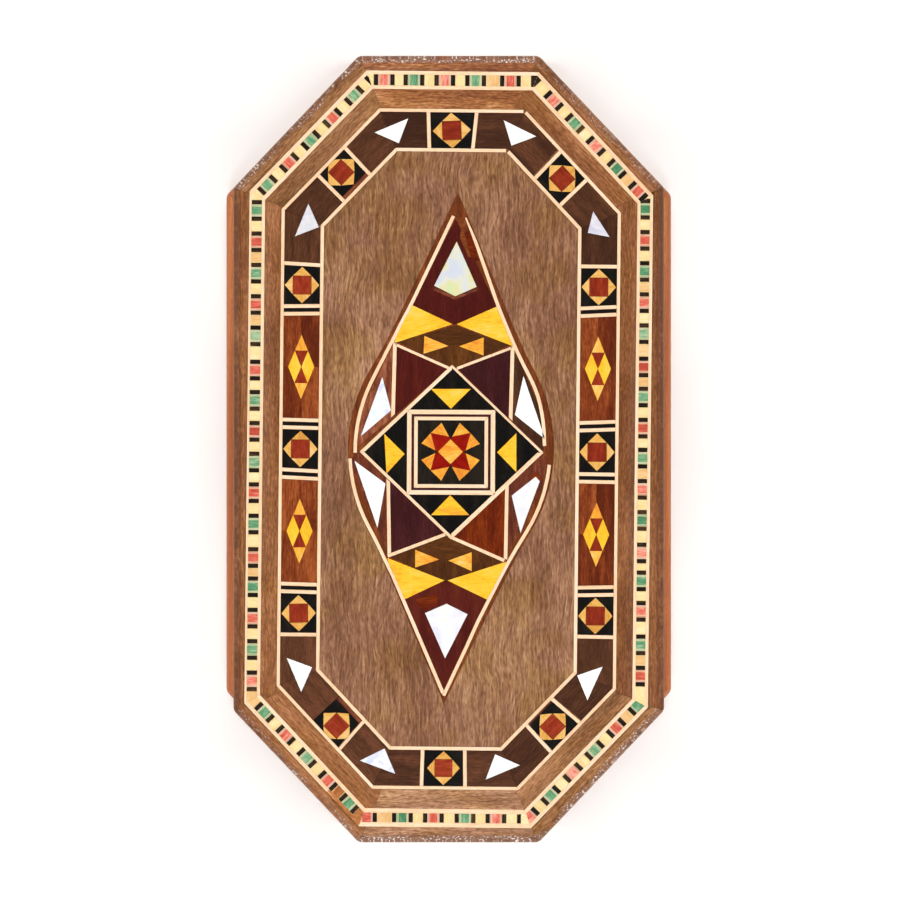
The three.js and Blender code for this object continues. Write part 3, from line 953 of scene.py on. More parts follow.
    def copy_of(self, name: str) -> bpy.types.Object:
        """Copies a CAD node and welds its loose triangles.

        Args:
            name: The node.

        Returns:
            The copy, with a mesh of its own.
        """
        node = self.nodes[name]
        copy = node.copy()
        copy.data = node.data.copy()
        copy.parent = None
        copy.name = name + "_dressed"
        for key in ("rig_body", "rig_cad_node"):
            del copy[key]
        copy.data.materials.clear()
        while copy.data.uv_layers:
            copy.data.uv_layers.remove(copy.data.uv_layers[0])
        bpy.context.scene.collection.objects.link(copy)
        self.alone(copy)
        bpy.ops.object.mode_set(mode="EDIT")
        bpy.ops.mesh.select_all(action="SELECT")
        bpy.ops.mesh.remove_doubles(threshold=WELD_THRESHOLD)
        bpy.ops.object.mode_set(mode="OBJECT")
        return copy

    def ground(
        self, name: str, finish: Wood, grain: float = 90.0, tone: "float | None" = None
    ) -> bpy.types.Object:
        """Copies a CAD node as the ground that thin inlay is laid on.

        Args:
            name: The node.
            finish: The ground's wood.
            grain: The direction of its grain, in degrees.
            tone: How much lighter it is than the finish, or None for chance.

        Returns:
            The ground, its top a hair below the lid's.
        """
        copy = self.copy_of(name)
        bpy.ops.object.mode_set(mode="EDIT")
        bpy.ops.mesh.select_mode(type="VERT")
        bpy.ops.object.mode_set(mode="OBJECT")
        for vertex in copy.data.vertices:
            vertex.select = vertex.co.z > (LID_TOP - FLUSH) * MM
        bpy.ops.object.mode_set(mode="EDIT")
        bpy.ops.transform.translate(value=(0, 0, (GROUND_TOP - LID_TOP) * MM))
        bpy.ops.object.mode_set(mode="OBJECT")
        self.grained(copy, grain, tone, finish.spread)
        copy.data.materials.append(finish.material())
        return copy

    def parted(self, piece: bpy.types.Object, point: Vector, outward: Vector) -> None:
        """Cuts a solid right through, and closes the cut.

        Args:
            piece: The solid.
            point: A point on the cut.
            outward: The direction of the part that falls away.
        """
        self.alone(piece)
        bpy.ops.object.mode_set(mode="EDIT")
        bpy.ops.mesh.select_all(action="SELECT")
        bpy.ops.mesh.bisect(
            plane_co=(point.x * MM, point.y * MM, 0),
            plane_no=(outward.x, outward.y, 0),
            clear_outer=True,
            use_fill=True,
            threshold=CUT_THRESHOLD,
        )
        bpy.ops.mesh.select_all(action="SELECT")
        bpy.ops.mesh.normals_make_consistent(inside=False)
        bpy.ops.object.mode_set(mode="OBJECT")

    def trimmed(self, piece: bpy.types.Object, tool: bpy.types.Object, operation: str) -> None:
        """Trims a piece with another solid.

        Args:
            piece: The piece.
            tool: The solid that trims it, which stays.
            operation: INTERSECT keeps what lies inside the tool, DIFFERENCE what lies outside.
        """
        self.alone(piece)
        trim = piece.modifiers.new("trim", "BOOLEAN")
        trim.operation = operation
        trim.solver = "EXACT"
        trim.object = tool
        bpy.ops.object.modifier_apply(modifier=trim.name)

    def glued(self, name: str, parts: list[bpy.types.Object]) -> bpy.types.Object:
        """Joins parts into one piece.

        Args:
            name: The piece's name.
            parts: The parts; the first takes the others in.

        Returns:
            The piece.
        """
        self.alone(parts[0])
        for part in parts:
            part.select_set(True)
        bpy.ops.object.join()
        parts[0].name = name
        return parts[0]

    def smoothed(self, piece: bpy.types.Object) -> None:
        """Shades the softened edges of a piece as round, and keeps its flats flat.

        Args:
            piece: The piece.
        """
        self.alone(piece)
        bpy.ops.object.mode_set(mode="EDIT")
        bpy.ops.mesh.select_mode(type="FACE")
        bpy.ops.mesh.select_all(action="SELECT")
        bpy.ops.mesh.mod_weighted_strength(set=True, face_strength="WEAK")
        bpy.ops.mesh.select_all(action="DESELECT")
        bpy.ops.object.mode_set(mode="OBJECT")
        for polygon in piece.data.polygons:
            rounded = ROUNDED[0] < abs(polygon.normal.z) < ROUNDED[1]
            polygon.select = not rounded and polygon.area > FLAT_AREA
        bpy.ops.object.mode_set(mode="EDIT")
        bpy.ops.mesh.mod_weighted_strength(set=True, face_strength="STRONG")
        bpy.ops.object.mode_set(mode="OBJECT")
        bpy.ops.object.shade_smooth_by_angle(angle=SOFT_ANGLE)
        weigh = piece.modifiers.new("flats", "WEIGHTED_NORMAL")
        weigh.keep_sharp = True
        weigh.use_face_influence = True
        bpy.ops.object.modifier_apply(modifier=weigh.name)

    def fitted(self, piece: bpy.types.Object, slot: str, replaced: list[str]) -> None:
        """Fits a finished piece to the box and reports it.

        Args:
            piece: The piece.
            slot: The material slot that it takes its finish from; not used.
            replaced: The CAD nodes that it stands for.
        """
        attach(piece, "root")
        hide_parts(*replaced)
        LOG.info("%s: %d faces", piece.name, len(piece.data.polygons))

    def dressed(self, name: str, finish: Finish) -> None:
        """Gives a CAD node that stays its finish.

        Args:
            name: The node.
            finish: Its finish.
        """
        node = self.nodes[name]
        node.data.materials.clear()
        node.data.materials.append(finish.material())
        LOG.info("%s: dressed in %s", name, finish.name)

    def cleared(self) -> None:
        """Takes the pattern tiles off the bench."""
        for pattern in self.patterns.values():
            bpy.data.objects.remove(pattern)
        self.patterns.clear()


# ---- Plinth, walls, frame and panel ----------------------------------------------------------


@dataclass
class Carcase:
    """The plinth and the eight mitred wall boards."""

    bench: Bench
    # A face of the plinth that looks straight up or down more than this keeps the top's grain.
    level: float = 0.99
    # How far along and across the log the grain of each side starts from the last one's.
    next_side: tuple[float, float] = (50.0, 20.0)

    def build(self) -> None:
        """Dresses the plinth and the walls, each board with its own grain."""
        plinth = self.bench.copy_of("plinth")
        self.bench.grained(plinth, 90.0, 0.0, 0.0)
        self.wrap(plinth)
        plinth.data.materials.append(PLINTH_WOOD.material())
        self.bench.smoothed(plinth)
        self.bench.fitted(plinth, "plinth_wood", ["plinth"])
        for k, name in enumerate(SIDE_NAMES):
            wall = self.bench.copy_of(f"wall_{name}")
            self.bench.grained(wall, SIDE_FACING[k] + 90, None, WALL_WALNUT.spread)
            wall.data.materials.append(WALL_WALNUT.material())
            self.bench.smoothed(wall)
            self.bench.fitted(wall, "wall_veneer", [f"wall_{name}"])

    def wrap(self, plinth: bpy.types.Object) -> None:
        """Turns the plinth's grain to run along each of its sides.

        Args:
            plinth: The plinth, its top and underside grained already.
        """
        mesh = plinth.data
        layer = mesh.uv_layers[GRAIN_MAP].data
        ahead, across = self.next_side
        for polygon in mesh.polygons:
            normal = polygon.normal
            if abs(normal.z) > self.level:
                continue
            angle = math.degrees(math.atan2(normal.y, normal.x)) % 360
            k = min(range(8), key=lambda side: abs((SIDE_FACING[side] - angle + 180) % 360 - 180))
            cos, sin = math.cos(facing(k)), math.sin(facing(k))
            for loop in polygon.loop_indices:
                x, y, z = mesh.vertices[mesh.loops[loop].vertex_index].co / MM
                layer[loop].uv = (y * cos - x * sin + ahead * k, x * cos + y * sin - z + across * k)


@dataclass
class LidFrame:
    """The eight mitred boards of the lid's rim, and the panel that they hold."""

    bench: Bench
    # How much lighter each board is than its wood.
    tones: tuple[float, ...] = (-0.11, 0.0, 0.0, 0.02, -0.05, 0.02, 0.02, 0.01)
    # How much lighter it is outside the mosaic band than inside it.
    outer_tones: tuple[float, ...] = (-0.04, -0.08, -0.055, -0.09, 0.0, 0.08, -0.16, 0.0)
    # How much painted sheen and glints, with dark bruises, its rounded outer edge takes where the lamps
    # catch it, and the share on its steep part.
    wear: tuple[float, ...] = (0.0, 0.3, 1.0, 0.7, 0.0, 0.4, 1.0, 0.9)
    steep_glint_and_wear: float = 0.4
    # Painted shade on the rounded edge: how much lighter it is where it takes glints, and where it is steep
    # or takes none.
    glinted_edge_shade: float = -0.08
    deep_edge_shade: float = -0.16
    # How far up a normal points on the rounded edge, from its outside to its top, and below
    # which the edge is steep.
    rounded: tuple[float, float] = (0.05, 0.999)
    steep: float = 0.45
    finishes: dict[int, Wood] = field(
        default_factory=lambda: {2: BACK_WALNUT, 3: GREYER_WALNUT, 6: FRONT_WALNUT, 7: GREYER_WALNUT}
    )

    def build(self) -> None:
        """Dresses the boards and the panel."""
        for k, name in enumerate(SIDE_NAMES):
            board = self.bench.copy_of(f"lid_frame_{name}")
            self.bench.grained(board, SIDE_FACING[k] + 90, self.tones[k], 0.0)
            self.shade_and_glint(board, k)
            board.data.materials.append(self.finishes.get(k, FRAME_WALNUT).material())
            self.bench.smoothed(board)
            self.bench.fitted(board, "lid_frame_wood", [f"lid_frame_{name}"])
        self.bench.dressed("lid_panel", FIELD_WALNUT)

    def shade_and_glint(self, board: bpy.types.Object, k: int) -> None:
        """Tones a board outside the band, paints shade on its softened outer edge, and marks where that edge
        takes painted sheen and glints, with dark bruises.

        Args:
            board: The board.
            k: Its side.
        """
        wear = self.wear[k]
        glint_and_wear_laid = board.data.attributes.new(GLINT_AND_WEAR, "FLOAT", "FACE").data
        tones = board.data.attributes[TONE].data
        outward = on_side(k, 1, 0)
        for polygon in board.data.polygons:
            if polygon.center.xy.dot(outward) > BAND_OUTER.reach(k) * MM:
                tones[polygon.index].value += self.outer_tones[k]
            if self.rounded[0] < polygon.normal.z < self.rounded[1]:
                steep = polygon.normal.z < self.steep
                # Painted sheen and glints, with their bruises, where the lamps catch the edge, less on its
                # steep part.
                glint_and_wear_laid[polygon.index].value = wear * (self.steep_glint_and_wear if steep else 1.0)
                # Painted shade: the rounded edge is darker, most where it is steep or takes no glints.
                tones[polygon.index].value += self.deep_edge_shade if steep or wear == 0 else self.glinted_edge_shade


# ---- Mosaic band -----------------------------------------------------------------------------


@dataclass(frozen=True)
class TileRun:
    """The coloured tiles of one side of the mosaic band.

    Centres stand along the side from its middle, counter-clockwise, and red and green take turns.
    A stray moves one tile off its even place.
    """

    first: float
    last: float
    count: int
    starts_red: bool
    strays: dict[int, float] = field(default_factory=dict)
    # Lone black slips, each with its middle and its width.
    blacks: Corners = ()

    def centres(self) -> list[float]:
        """Gives the middle of each coloured tile."""
        step = (self.last - self.first) / (self.count - 1)
        return [self.first + step * i + self.strays.get(i, 0) for i in range(self.count)]


@dataclass
class MosaicBand:
    """The band of small tiles round the lid, between two cream lines."""

    bench: Bench
    runs: tuple[TileRun, ...] = (
        TileRun(-63.4, 68.3, 16, True, {2: 0.7, 3: 0.5, 4: -0.4, 8: -0.3, 9: -0.3, 10: -0.6}),
        TileRun(-19.9, 15.0, 5, True, blacks=((22.75, 2.5),)),
        TileRun(-16.3, 19.3, 5, True, {1: 0.9, 2: 0.7, 3: 0.5}, ((-23.2, 2.2),)),
        TileRun(-16.2, 18.9, 5, False, blacks=((-22.2, 1.2),)),
        TileRun(-66.8, 65.9, 16, False, {5: 0.8, 6: 0.5, 7: 0.4, 8: 0.2, 11: 0.6}),
        TileRun(-17.9, 17.1, 5, False),
        TileRun(-22.1, 14.4, 5, True, {1: 1.0, 2: 0.6, 3: 0.4}, ((20.9, 1.2),)),
        TileRun(-21.8, 22.1, 6, True, {1: -0.2}),
    )
    # The widths of the slips in each coloured tile: dark, pale, full colour, pale and dark.
    slips: tuple[float, ...] = (1.35, 0.45, 2.4, 0.45, 1.35)
    # The widths of the inner and the outer line, on the sides where they aren't as usual.
    line_widths: dict[int, tuple[float, float]] = field(
        default_factory=lambda: {0: (0.85, 0.85), 2: (1.0, 1.0), 4: (0.85, 0.6), 6: (1.25, 1.25)}
    )
    usual_width: float = 1.05
    # Where along a side the outer line has been lost and its place made good with filler.
    mended: dict[int, float] = field(default_factory=lambda: {5: 10.5})
    # The share of the pale tiles that have turned tan.
    tan_share: float = 0.25
    # In square millimetres: a sliver smaller than the first is left out, and a tile that the
    # mitre takes less than the second from is whole.
    least_area: float = 0.1
    least_cut: float = 0.01

    def build(self) -> None:
        """Lays the lines and the tiles of every side on the band's ground."""
        parts = [self.bench.ground("mosaic_band", CREAM_TILE)]
        for k in range(8):
            inner_line, outer_line = self.line_widths.get(k, (self.usual_width, self.usual_width))
            parts += self.lines(k, inner_line, outer_line)
            parts += self.tiles(k, BAND_INNER.reach(k) + inner_line, BAND_OUTER.reach(k) - outer_line)
        band = self.bench.glued("mosaic_band_tiles", parts)
        self.bench.fitted(band, "mosaic_tesserae", ["mosaic_band"])

    def mitred(self, k: int, near: float, far: float, start: float, end: float) -> Outline:
        """Marks out a piece of side k, cut to the mitres.

        Args:
            k: The side.
            near: Its inner edge.
            far: Its outer edge.
            start: Where it starts along the side.
            end: Where it ends.

        Returns:
            The outline on the lid.
        """
        middle = middle_of_side(k, BAND_MIDDLE)
        spots = ((near, start), (near, end), (far, end), (far, start))
        outline = [on_side(k, distance, middle + along) for distance, along in reversed(spots)]
        for corner, hand in ((k - 1, -1), (k, 1)):
            vertex = BAND_OUTER.vertex(corner)
            mitre = (vertex - BAND_INNER.vertex(corner)).normalized()
            outward = Vector((-mitre.y, mitre.x)) * hand
            outline = clipped(outline, vertex, outward)
        return INLAY_PLACE.put(outline)

    def lines(self, k: int, inner_line: float, outer_line: float) -> list[bpy.types.Object]:
        """Lays the two cream lines of side k.

        Args:
            k: The side.
            inner_line: The width of the inner line.
            outer_line: The width of the outer line.

        Returns:
            The lines, and the filler where one is lost.
        """
        near, far = BAND_INNER.reach(k) + GLUE_LINE, BAND_OUTER.reach(k) - GLUE_LINE
        grain = SIDE_FACING[k] + 90
        stop = self.mended.get(k, PAST_MITRES)
        pieces = [(self.mitred(k, near, near + inner_line, -PAST_MITRES, PAST_MITRES), CREAM_LINE)]
        pieces.append((self.mitred(k, far - outer_line, far, -PAST_MITRES, stop), CREAM_LINE))
        if stop < PAST_MITRES:
            pieces.append((self.mitred(k, far - outer_line, far, stop, PAST_MITRES), FILLER))
        return [self.bench.sawn(line, finish, GROUND_TOP, LID_TOP, grain) for line, finish in pieces]

    def tiles(self, k: int, near: float, far: float) -> list[bpy.types.Object]:
        """Lays the tiles of side k.

        Args:
            k: The side.
            near: The inner edge of the tiles.
            far: The outer edge.

        Returns:
            The tiles.
        """
        run = self.runs[k]
        slots = [(at - width / 2, at + width / 2, DARK_SLIP) for at, width in run.blacks]
        for i, centre in enumerate(run.centres()):
            is_red = (i % 2 == 0) == run.starts_red
            pale, full = (PINK_TILE, RED_TILE) if is_red else (MINT_TILE, GREEN_TILE)
            edge = centre - sum(self.slips) / 2
            for finish, width in zip((DARK_SLIP, pale, full, pale, DARK_SLIP), self.slips):
                slots.append((edge, edge + width, finish))
                edge += width
        slots.sort(key=lambda slot: slot[0])
        slots.append((PAST_MITRES, PAST_MITRES, CREAM_TILE))
        parts = []
        edge = -PAST_MITRES
        for start, end, finish in slots:
            filling = self.filling(k, edge)
            parts += self.tile(k, near, far, edge, start, filling)
            parts += self.tile(k, near, far, start, end, finish)
            edge = end
        return parts

    def filling(self, k: int, along: float) -> Wood:
        """Chooses what lies between the coloured tiles: cream wood, or filler on a mended end.

        Args:
            k: The side.
            along: Where it lies along the side.

        Returns:
            The wood or the filler.
        """
        if k in self.mended and along > self.mended[k]:
            return FILLER
        return CREAM_TILE if self.bench.chance.random() > self.tan_share else ORANGE_CREAM

    def tile(
        self, k: int, near: float, far: float, start: float, end: float, finish: Wood
    ) -> list[bpy.types.Object]:
        """Lays one tile: a copy of its pattern where it is whole, or sawn to the mitre.

        Args:
            k: The side.
            near: Its inner edge.
            far: Its outer edge.
            start: Where it starts along the side.
            end: Where it ends.
            finish: Its wood.

        Returns:
            The tile, or nothing where no room is left for it.
        """
        outline = self.mitred(k, near, far, start, end)
        if len(outline) < 3 or abs(area(outline)) < self.least_area:
            return []
        whole = (end - start) * (far - near)
        if abs(abs(area(outline)) - whole) > self.least_cut:
            return [self.bench.sawn(outline, finish, GROUND_TOP, LID_TOP, SIDE_FACING[k] + 90)]
        middle = sum(outline, Vector((0, 0))) / len(outline)
        turn = facing(k) + math.radians(INLAY_PLACE.turn)
        size = Matrix.Diagonal((far - near - 2 * JOINT, end - start - 2 * JOINT, 1, 1))
        matrix = Matrix.Translation((middle.x * MM, middle.y * MM, 0)) @ Matrix.Rotation(turn, 4, "Z") @ size
        return [self.bench.tile(finish, matrix, GROUND_TOP)]


# ---- Border ----------------------------------------------------------------------------------


@dataclass(frozen=True)
class Bar:
    """A bar between two blocks of the border.

    It stands at a distance from the middle of its side, counter-clockwise, and leans a little.
    """

    at: float
    lean: float
    width: float = 1.05


# The width of a triple bar, and the share of it that its black strip takes.
TRIPLE_WIDTH = 3.2
BLACK_SHARE = 0.34


def triple(at: float, lean: float) -> Bar:
    """Makes a bar of three strips: cream, black and cream."""
    return Bar(at, lean, TRIPLE_WIDTH)


# The bars of each side in order.
BARS: tuple[tuple[Bar, ...], ...] = (
    (
        Bar(-52.5, -0.7), triple(-39.6, 1.5), triple(-7.7, -0.3),
        triple(6.95, 2.4), triple(39.3, 3), Bar(52, 0),
    ),
    (Bar(-6.5, 1), Bar(4.1, 3)),
    (Bar(-6.4, -5.5), Bar(6.55, 2)),
    (Bar(-4.85, -3), Bar(5.85, -1)),
    (
        Bar(-51.8, -3), triple(-38.9, 1), triple(-6.75, -1),
        triple(7.45, -2.4), triple(39.55, -1.2), Bar(52.7, 0),
    ),
    (Bar(-5.6, 0, 0), Bar(4.9, 6)),
    (Bar(-6.6, -1.3), Bar(5.5, 1)),
    (Bar(-5.35, -3.6), Bar(5.6, 3.5)),
)


def bar_point(k: int, bar: Bar, share: float, distance: float) -> Vector:
    """Finds the point at a distance out, and a share across a bar: -1 at its start, 1 at its end."""
    lean = (distance - BORDER_MIDDLE.reach(k)) * math.tan(math.radians(bar.lean))
    return on_side(k, distance, middle_of_side(k) + bar.at + lean + share * bar.width / 2)


def cell(k: int, before: Bar, after: Bar) -> Outline:
    """Marks out the cell of a side between two of its bars.

    Args:
        k: The side.
        before: The bar before the cell.
        after: The bar after it.

    Returns:
        The outline in the inlay's own frame, counter-clockwise.
    """
    near, far = CELL_INNER.reach(k), CELL_OUTER.reach(k)
    return [
        bar_point(k, before, 1, near),
        bar_point(k, before, 1, far),
        bar_point(k, after, -1, far),
        bar_point(k, after, -1, near),
    ][::-1]


@dataclass
class Stringing:
    """The cream lines on both sides of the border, and the bars between its blocks."""

    bench: Bench
    # The corner where the lines stop short of each other, and by how much each one does.
    open_corner: int = 1
    opening: float = 0.55

    def build(self) -> None:
        """Lays the lines and the bars on their ground."""
        parts = [self.bench.ground("border_stringing", WALL_WALNUT)]
        for k in range(8):
            parts += self.lines(k)
            for bar in BARS[k]:
                parts += self.bar(k, bar)
        ladder = self.bench.glued("border_lines_and_bars", parts)
        self.bench.fitted(ladder, "cream_stringing", ["border_stringing"])

    def lines(self, k: int) -> list[bpy.types.Object]:
        """Lays the outer and the inner line of side k.

        Args:
            k: The side.

        Returns:
            The lines.
        """
        outermost, innermost = BORDER_OUTER.inset(GLUE_LINE), BORDER_INNER.inset(-GLUE_LINE)
        parts = []
        for far, near in ((outermost, CELL_OUTER), (CELL_INNER, innermost)):
            outline = [far.vertex(k - 1), far.vertex(k), near.vertex(k), near.vertex(k - 1)]
            along = on_side(k, 0, 1)
            for corner, hand in ((k - 1, -1), (k, 1)):
                if corner == self.open_corner:
                    stop = far.vertex(corner) - along * hand * self.opening
                    outline = clipped(outline, stop, along * hand)
            laid = INLAY_PLACE.put(outline)
            parts.append(self.bench.sawn(laid, CREAM_LINE, GROUND_TOP, LID_TOP, SIDE_FACING[k] + 90))
        return parts

    def bar(self, k: int, bar: Bar) -> list[bpy.types.Object]:
        """Lays one bar of side k.

        Args:
            k: The side.
            bar: The bar; one with no width was left out.

        Returns:
            Its strips.
        """
        if bar.width == 0:
            return []
        near, far = CELL_INNER.reach(k), CELL_OUTER.reach(k)
        strips = [(-1.0, 1.0, CREAM_LINE)]
        if bar.width == TRIPLE_WIDTH:
            strips = [
                (-1.0, -BLACK_SHARE, CREAM_LINE),
                (-BLACK_SHARE, BLACK_SHARE, BLACK_WOOD),
                (BLACK_SHARE, 1.0, CREAM_LINE),
            ]
        parts = []
        for start, end, finish in strips:
            outline = [
                bar_point(k, bar, start, near),
                bar_point(k, bar, start, far),
                bar_point(k, bar, end, far),
                bar_point(k, bar, end, near),
            ]
            laid = INLAY_PLACE.put(outline)
            parts.append(self.bench.sawn(laid, finish, GROUND_TOP, LID_TOP, SIDE_FACING[k]))
        return parts


@dataclass(frozen=True)
class StarCut:
    """How one star was cut and set.

    Its size runs along and across its side; it may be turned, or set ahead or out of the middle,
    with a strip of wood let in inside it. Its square's corners are a little clipped.
    """

    along: float = 5.15
    across: float = 4.9
    square: float = 2.65
    clipped: float = 0.88
    turn: float = 0.0
    tone: float = 0.0
    ahead: float = 0.0
    out: float = 0.0
    filler: float = 0.0


@dataclass
class Blocks:
    """The star blocks and the lozenge blocks of the border."""

    bench: Bench
    # Half of the lozenge's length and width, and the joint round a whole block.
    lozenge_length: float = 9.15
    lozenge_width: float = 3.7
    cell_joint: float = 0.05
    star_cuts: dict[str, StarCut] = field(
        default_factory=lambda: {
            "star_block_right_1": StarCut(tone=-0.08),
            "star_block_right_2": StarCut(5.35, 5.0, 2.7, tone=-0.14),
            "star_block_right_3": StarCut(tone=-0.08),
            "star_block_back_right": StarCut(tone=-0.06, ahead=-0.25, out=0.4),
            "star_block_back": StarCut(5.4, 5.05, 2.7, turn=3.0, tone=-0.1),
            "star_block_back_left": StarCut(ahead=0.1, out=1.15, filler=1.1),
            "star_block_left_1": StarCut(tone=0.08),
            "star_block_left_2": StarCut(tone=0.06),
            "star_block_left_3": StarCut(turn=1.5),
            "star_block_front_left": StarCut(turn=2.0, tone=0.07, ahead=0.6, out=1.3, filler=1.2),
            "star_block_front": StarCut(4.65, 4.8, 2.5, tone=0.14),
            "star_block_front_right": StarCut(tone=0.1, ahead=-0.3, out=0.5, filler=0.5),
        }
    )
    # How much lighter each quarter is than the wood: ahead outside, ahead inside, behind outside
    # and behind inside.
    quarter_tones: dict[str, tuple[float, ...]] = field(
        default_factory=lambda: {
            "lozenge_block_right_1": (-0.28, 0.09, -0.15, -0.12),
            "lozenge_block_right_2": (-0.16, 0.1, -0.02, 0.08),
            "lozenge_block_left_1": (-0.04, 0.13, 0.05, -0.2),
            "lozenge_block_left_2": (0.05, 0.15, 0.17, -0.05),
        }
    )

    def build(self) -> None:
        """Lays every straight block of the border, stars and lozenges by turns."""
        for k in range(8):
            bars = BARS[k]
            for i, (before, after) in enumerate(zip(bars, bars[1:])):
                number = f"_{i // 2 + 1}" if len(bars) > 2 else ""
                kind = "star_block" if i % 2 == 0 else "lozenge_block"
                name = f"{kind}_{SIDE_NAMES[k]}{number}"
                if i % 2 == 0:
                    self.star(name, k, before, after)
                else:
                    self.lozenge(name, k, before, after)

    def local(self, k: int, before: Bar, after: Bar, cut: StarCut, points: Corners) -> Outline:
        """Lays points of a block's motif, given along and across its side.

        Args:
            k: The side.
            before: The bar before the block.
            after: The bar after it.
            cut: Where the motif is set and how it is turned.
            points: The points, from the middle of the block.

        Returns:
            The points on the lid.
        """
        start = before.at + before.width / 2
        end = after.at - after.width / 2
        middle = middle_of_side(k) + (start + end) / 2
        turned = Place(cut.ahead, cut.out, -cut.turn).put(points)
        reach = BORDER_MIDDLE.reach(k)
        return INLAY_PLACE.put([on_side(k, reach + p.y, middle + p.x) for p in turned])

    def star(self, name: str, k: int, before: Bar, after: Bar) -> None:
        """Lays a star: a red square in four yellow triangles on a black ground.

        Args:
            name: The block's CAD node.
            k: Its side.
            before: The bar before it.
            after: The bar after it.
        """
        cut = self.star_cuts.get(name, StarCut())
        grain = SIDE_FACING[k] + 90
        a, c, s = cut.along, cut.across, cut.square
        parts = [self.bench.ground(name, BLACK_WOOD, grain)]
        clip = s * cut.clipped
        square = (
            *((s, -clip), (s, clip), (clip, s), (-clip, s)),
            *((-s, clip), (-s, -clip), (-clip, -s), (clip, -s)),
        )
        triangles = (
            ((a, 0), (s, s), (s, -s)),
            ((0, c), (-s, s), (s, s)),
            ((-a, 0), (-s, -s), (-s, s)),
            ((0, -c), (s, -s), (-s, -s)),
        )
        outline = shrunk(INLAY_PLACE.put(cell(k, before, after)), self.cell_joint)
        spots = self.local(k, before, after, cut, square)
        parts.append(self.bench.sawn(spots, STAR_RED, GROUND_TOP, LID_TOP, grain, cut.tone))
        for triangle in triangles:
            spots = within(self.local(k, before, after, cut, triangle), outline)
            turn = self.bench.chance.choice((0, 45, 90))
            parts.append(self.bench.sawn(spots, STAR_YELLOW, GROUND_TOP, LID_TOP, grain + turn))
        if cut.filler > 0:
            near = CELL_INNER.reach(k) - BORDER_MIDDLE.reach(k)
            far = near + cut.filler
            strip = ((-PAST_MITRES, near), (PAST_MITRES, near), (PAST_MITRES, far), (-PAST_MITRES, far))
            spots = within(self.local(k, before, after, StarCut(), strip), outline)
            parts.append(self.bench.sawn(spots, SIDE_GROUND, GROUND_TOP, LID_TOP, grain))
        block = self.bench.glued(name + "_inlay", parts)
        self.bench.fitted(block, "star_tesserae", [name])

    def lozenge(self, name: str, k: int, before: Bar, after: Bar) -> None:
        """Lays a long lozenge, in yellow and red, on four quarter boards.

        Args:
            name: The block's CAD node.
            k: Its side.
            before: The bar before it.
            after: The bar after it.
        """
        grain = SIDE_FACING[k] + 90
        plain = StarCut()
        parts = [self.bench.ground(name, BLACK_WOOD, grain)]
        outline = shrunk(INLAY_PLACE.put(cell(k, before, after)), self.cell_joint)
        middle, ahead, out = self.local(k, before, after, plain, ((0, 0), (1, 0), (0, 1)))
        hands = ((1, 1), (1, -1), (-1, 1), (-1, -1))
        for (ahead_hand, out_hand), tone in zip(hands, self.quarter_tones[name]):
            quarter = clipped(outline, middle, (middle - ahead) * ahead_hand)
            quarter = clipped(quarter, middle, (middle - out) * out_hand)
            parts.append(self.bench.sawn(quarter, LOZENGE_WOOD, GROUND_TOP, FIELD_TOP, grain, tone))
        a, c = self.lozenge_length, self.lozenge_width
        pieces = (
            (((-a / 2, c / 2), (0, 0), (a / 2, c / 2), (0, c)), BRIGHT_YELLOW),
            (((-a / 2, -c / 2), (0, -c), (a / 2, -c / 2), (0, 0)), BRIGHT_YELLOW),
            (((0, 0), (a / 2, -c / 2), (a / 2, c / 2)), STAR_RED),
            (((0, 0), (-a / 2, c / 2), (-a / 2, -c / 2)), STAR_RED),
            (((a / 2, -c / 2), (a, 0), (a / 2, c / 2)), ORANGE),
            (((-a / 2, c / 2), (-a, 0), (-a / 2, -c / 2)), ORANGE),
        )
        for corners, finish in pieces:
            spots = self.local(k, before, after, plain, corners)
            parts.append(self.bench.sawn(spots, finish, FIELD_TOP, LID_TOP, grain))
        block = self.bench.glued(name + "_inlay", parts)
        self.bench.fitted(block, "lozenge_tesserae", [name])


@dataclass
class CornerBlocks:
    """The bent blocks at the border's corners, each in two mitred halves round a shell."""

    bench: Bench
    # How much lighter each half is than the wood: the one on side k, then the one on side k + 1.
    tones: tuple[tuple[float, float], ...] = (
        (-0.18, 0.03), (0.03, -0.06), (-0.3, 0.06), (-0.02, 0.08),
        (0.16, 0.19), (0.14, 0.03), (0.12, -0.08), (-0.07, 0.05),
    )
    shells: tuple[Pearl, ...] = (
        SILVER_PEARL, WHITE_PEARL, WHITE_PEARL, SILVER_PEARL,
        WHITE_PEARL, LAVENDER_PEARL, WHITE_PEARL, WHITE_PEARL,
    )

    def build(self) -> None:
        """Parts each block at its mitre and dresses its shell."""
        for k in range(8):
            corner = f"{SIDE_NAMES[k]}_to_{SIDE_NAMES[(k + 1) % 8]}"
            inner, outer = INLAY_PLACE.put([CELL_INNER.vertex(k), CELL_OUTER.vertex(k)])
            mitre = (outer - inner).normalized()
            outward = Vector((-mitre.y, mitre.x))
            halves = []
            for side, hand in ((k, 1), (k + 1, -1)):
                half = self.bench.copy_of(f"corner_block_{corner}")
                self.bench.parted(half, inner - outward * hand * JOINT, outward * hand)
                tone = self.tones[k][0 if hand == 1 else 1]
                self.bench.grained(half, SIDE_FACING[side % 8] + 90, tone, 0.0)
                half.data.materials.append(CORNER_WOOD.material())
                halves.append(half)
            block = self.bench.glued(f"corner_block_{corner}_halves", halves)
            self.bench.fitted(block, "corner_wood", [f"corner_block_{corner}"])
            self.bench.dressed(f"corner_shell_{corner}", self.shells[k])


# ---- Medallion -------------------------------------------------------------------------------


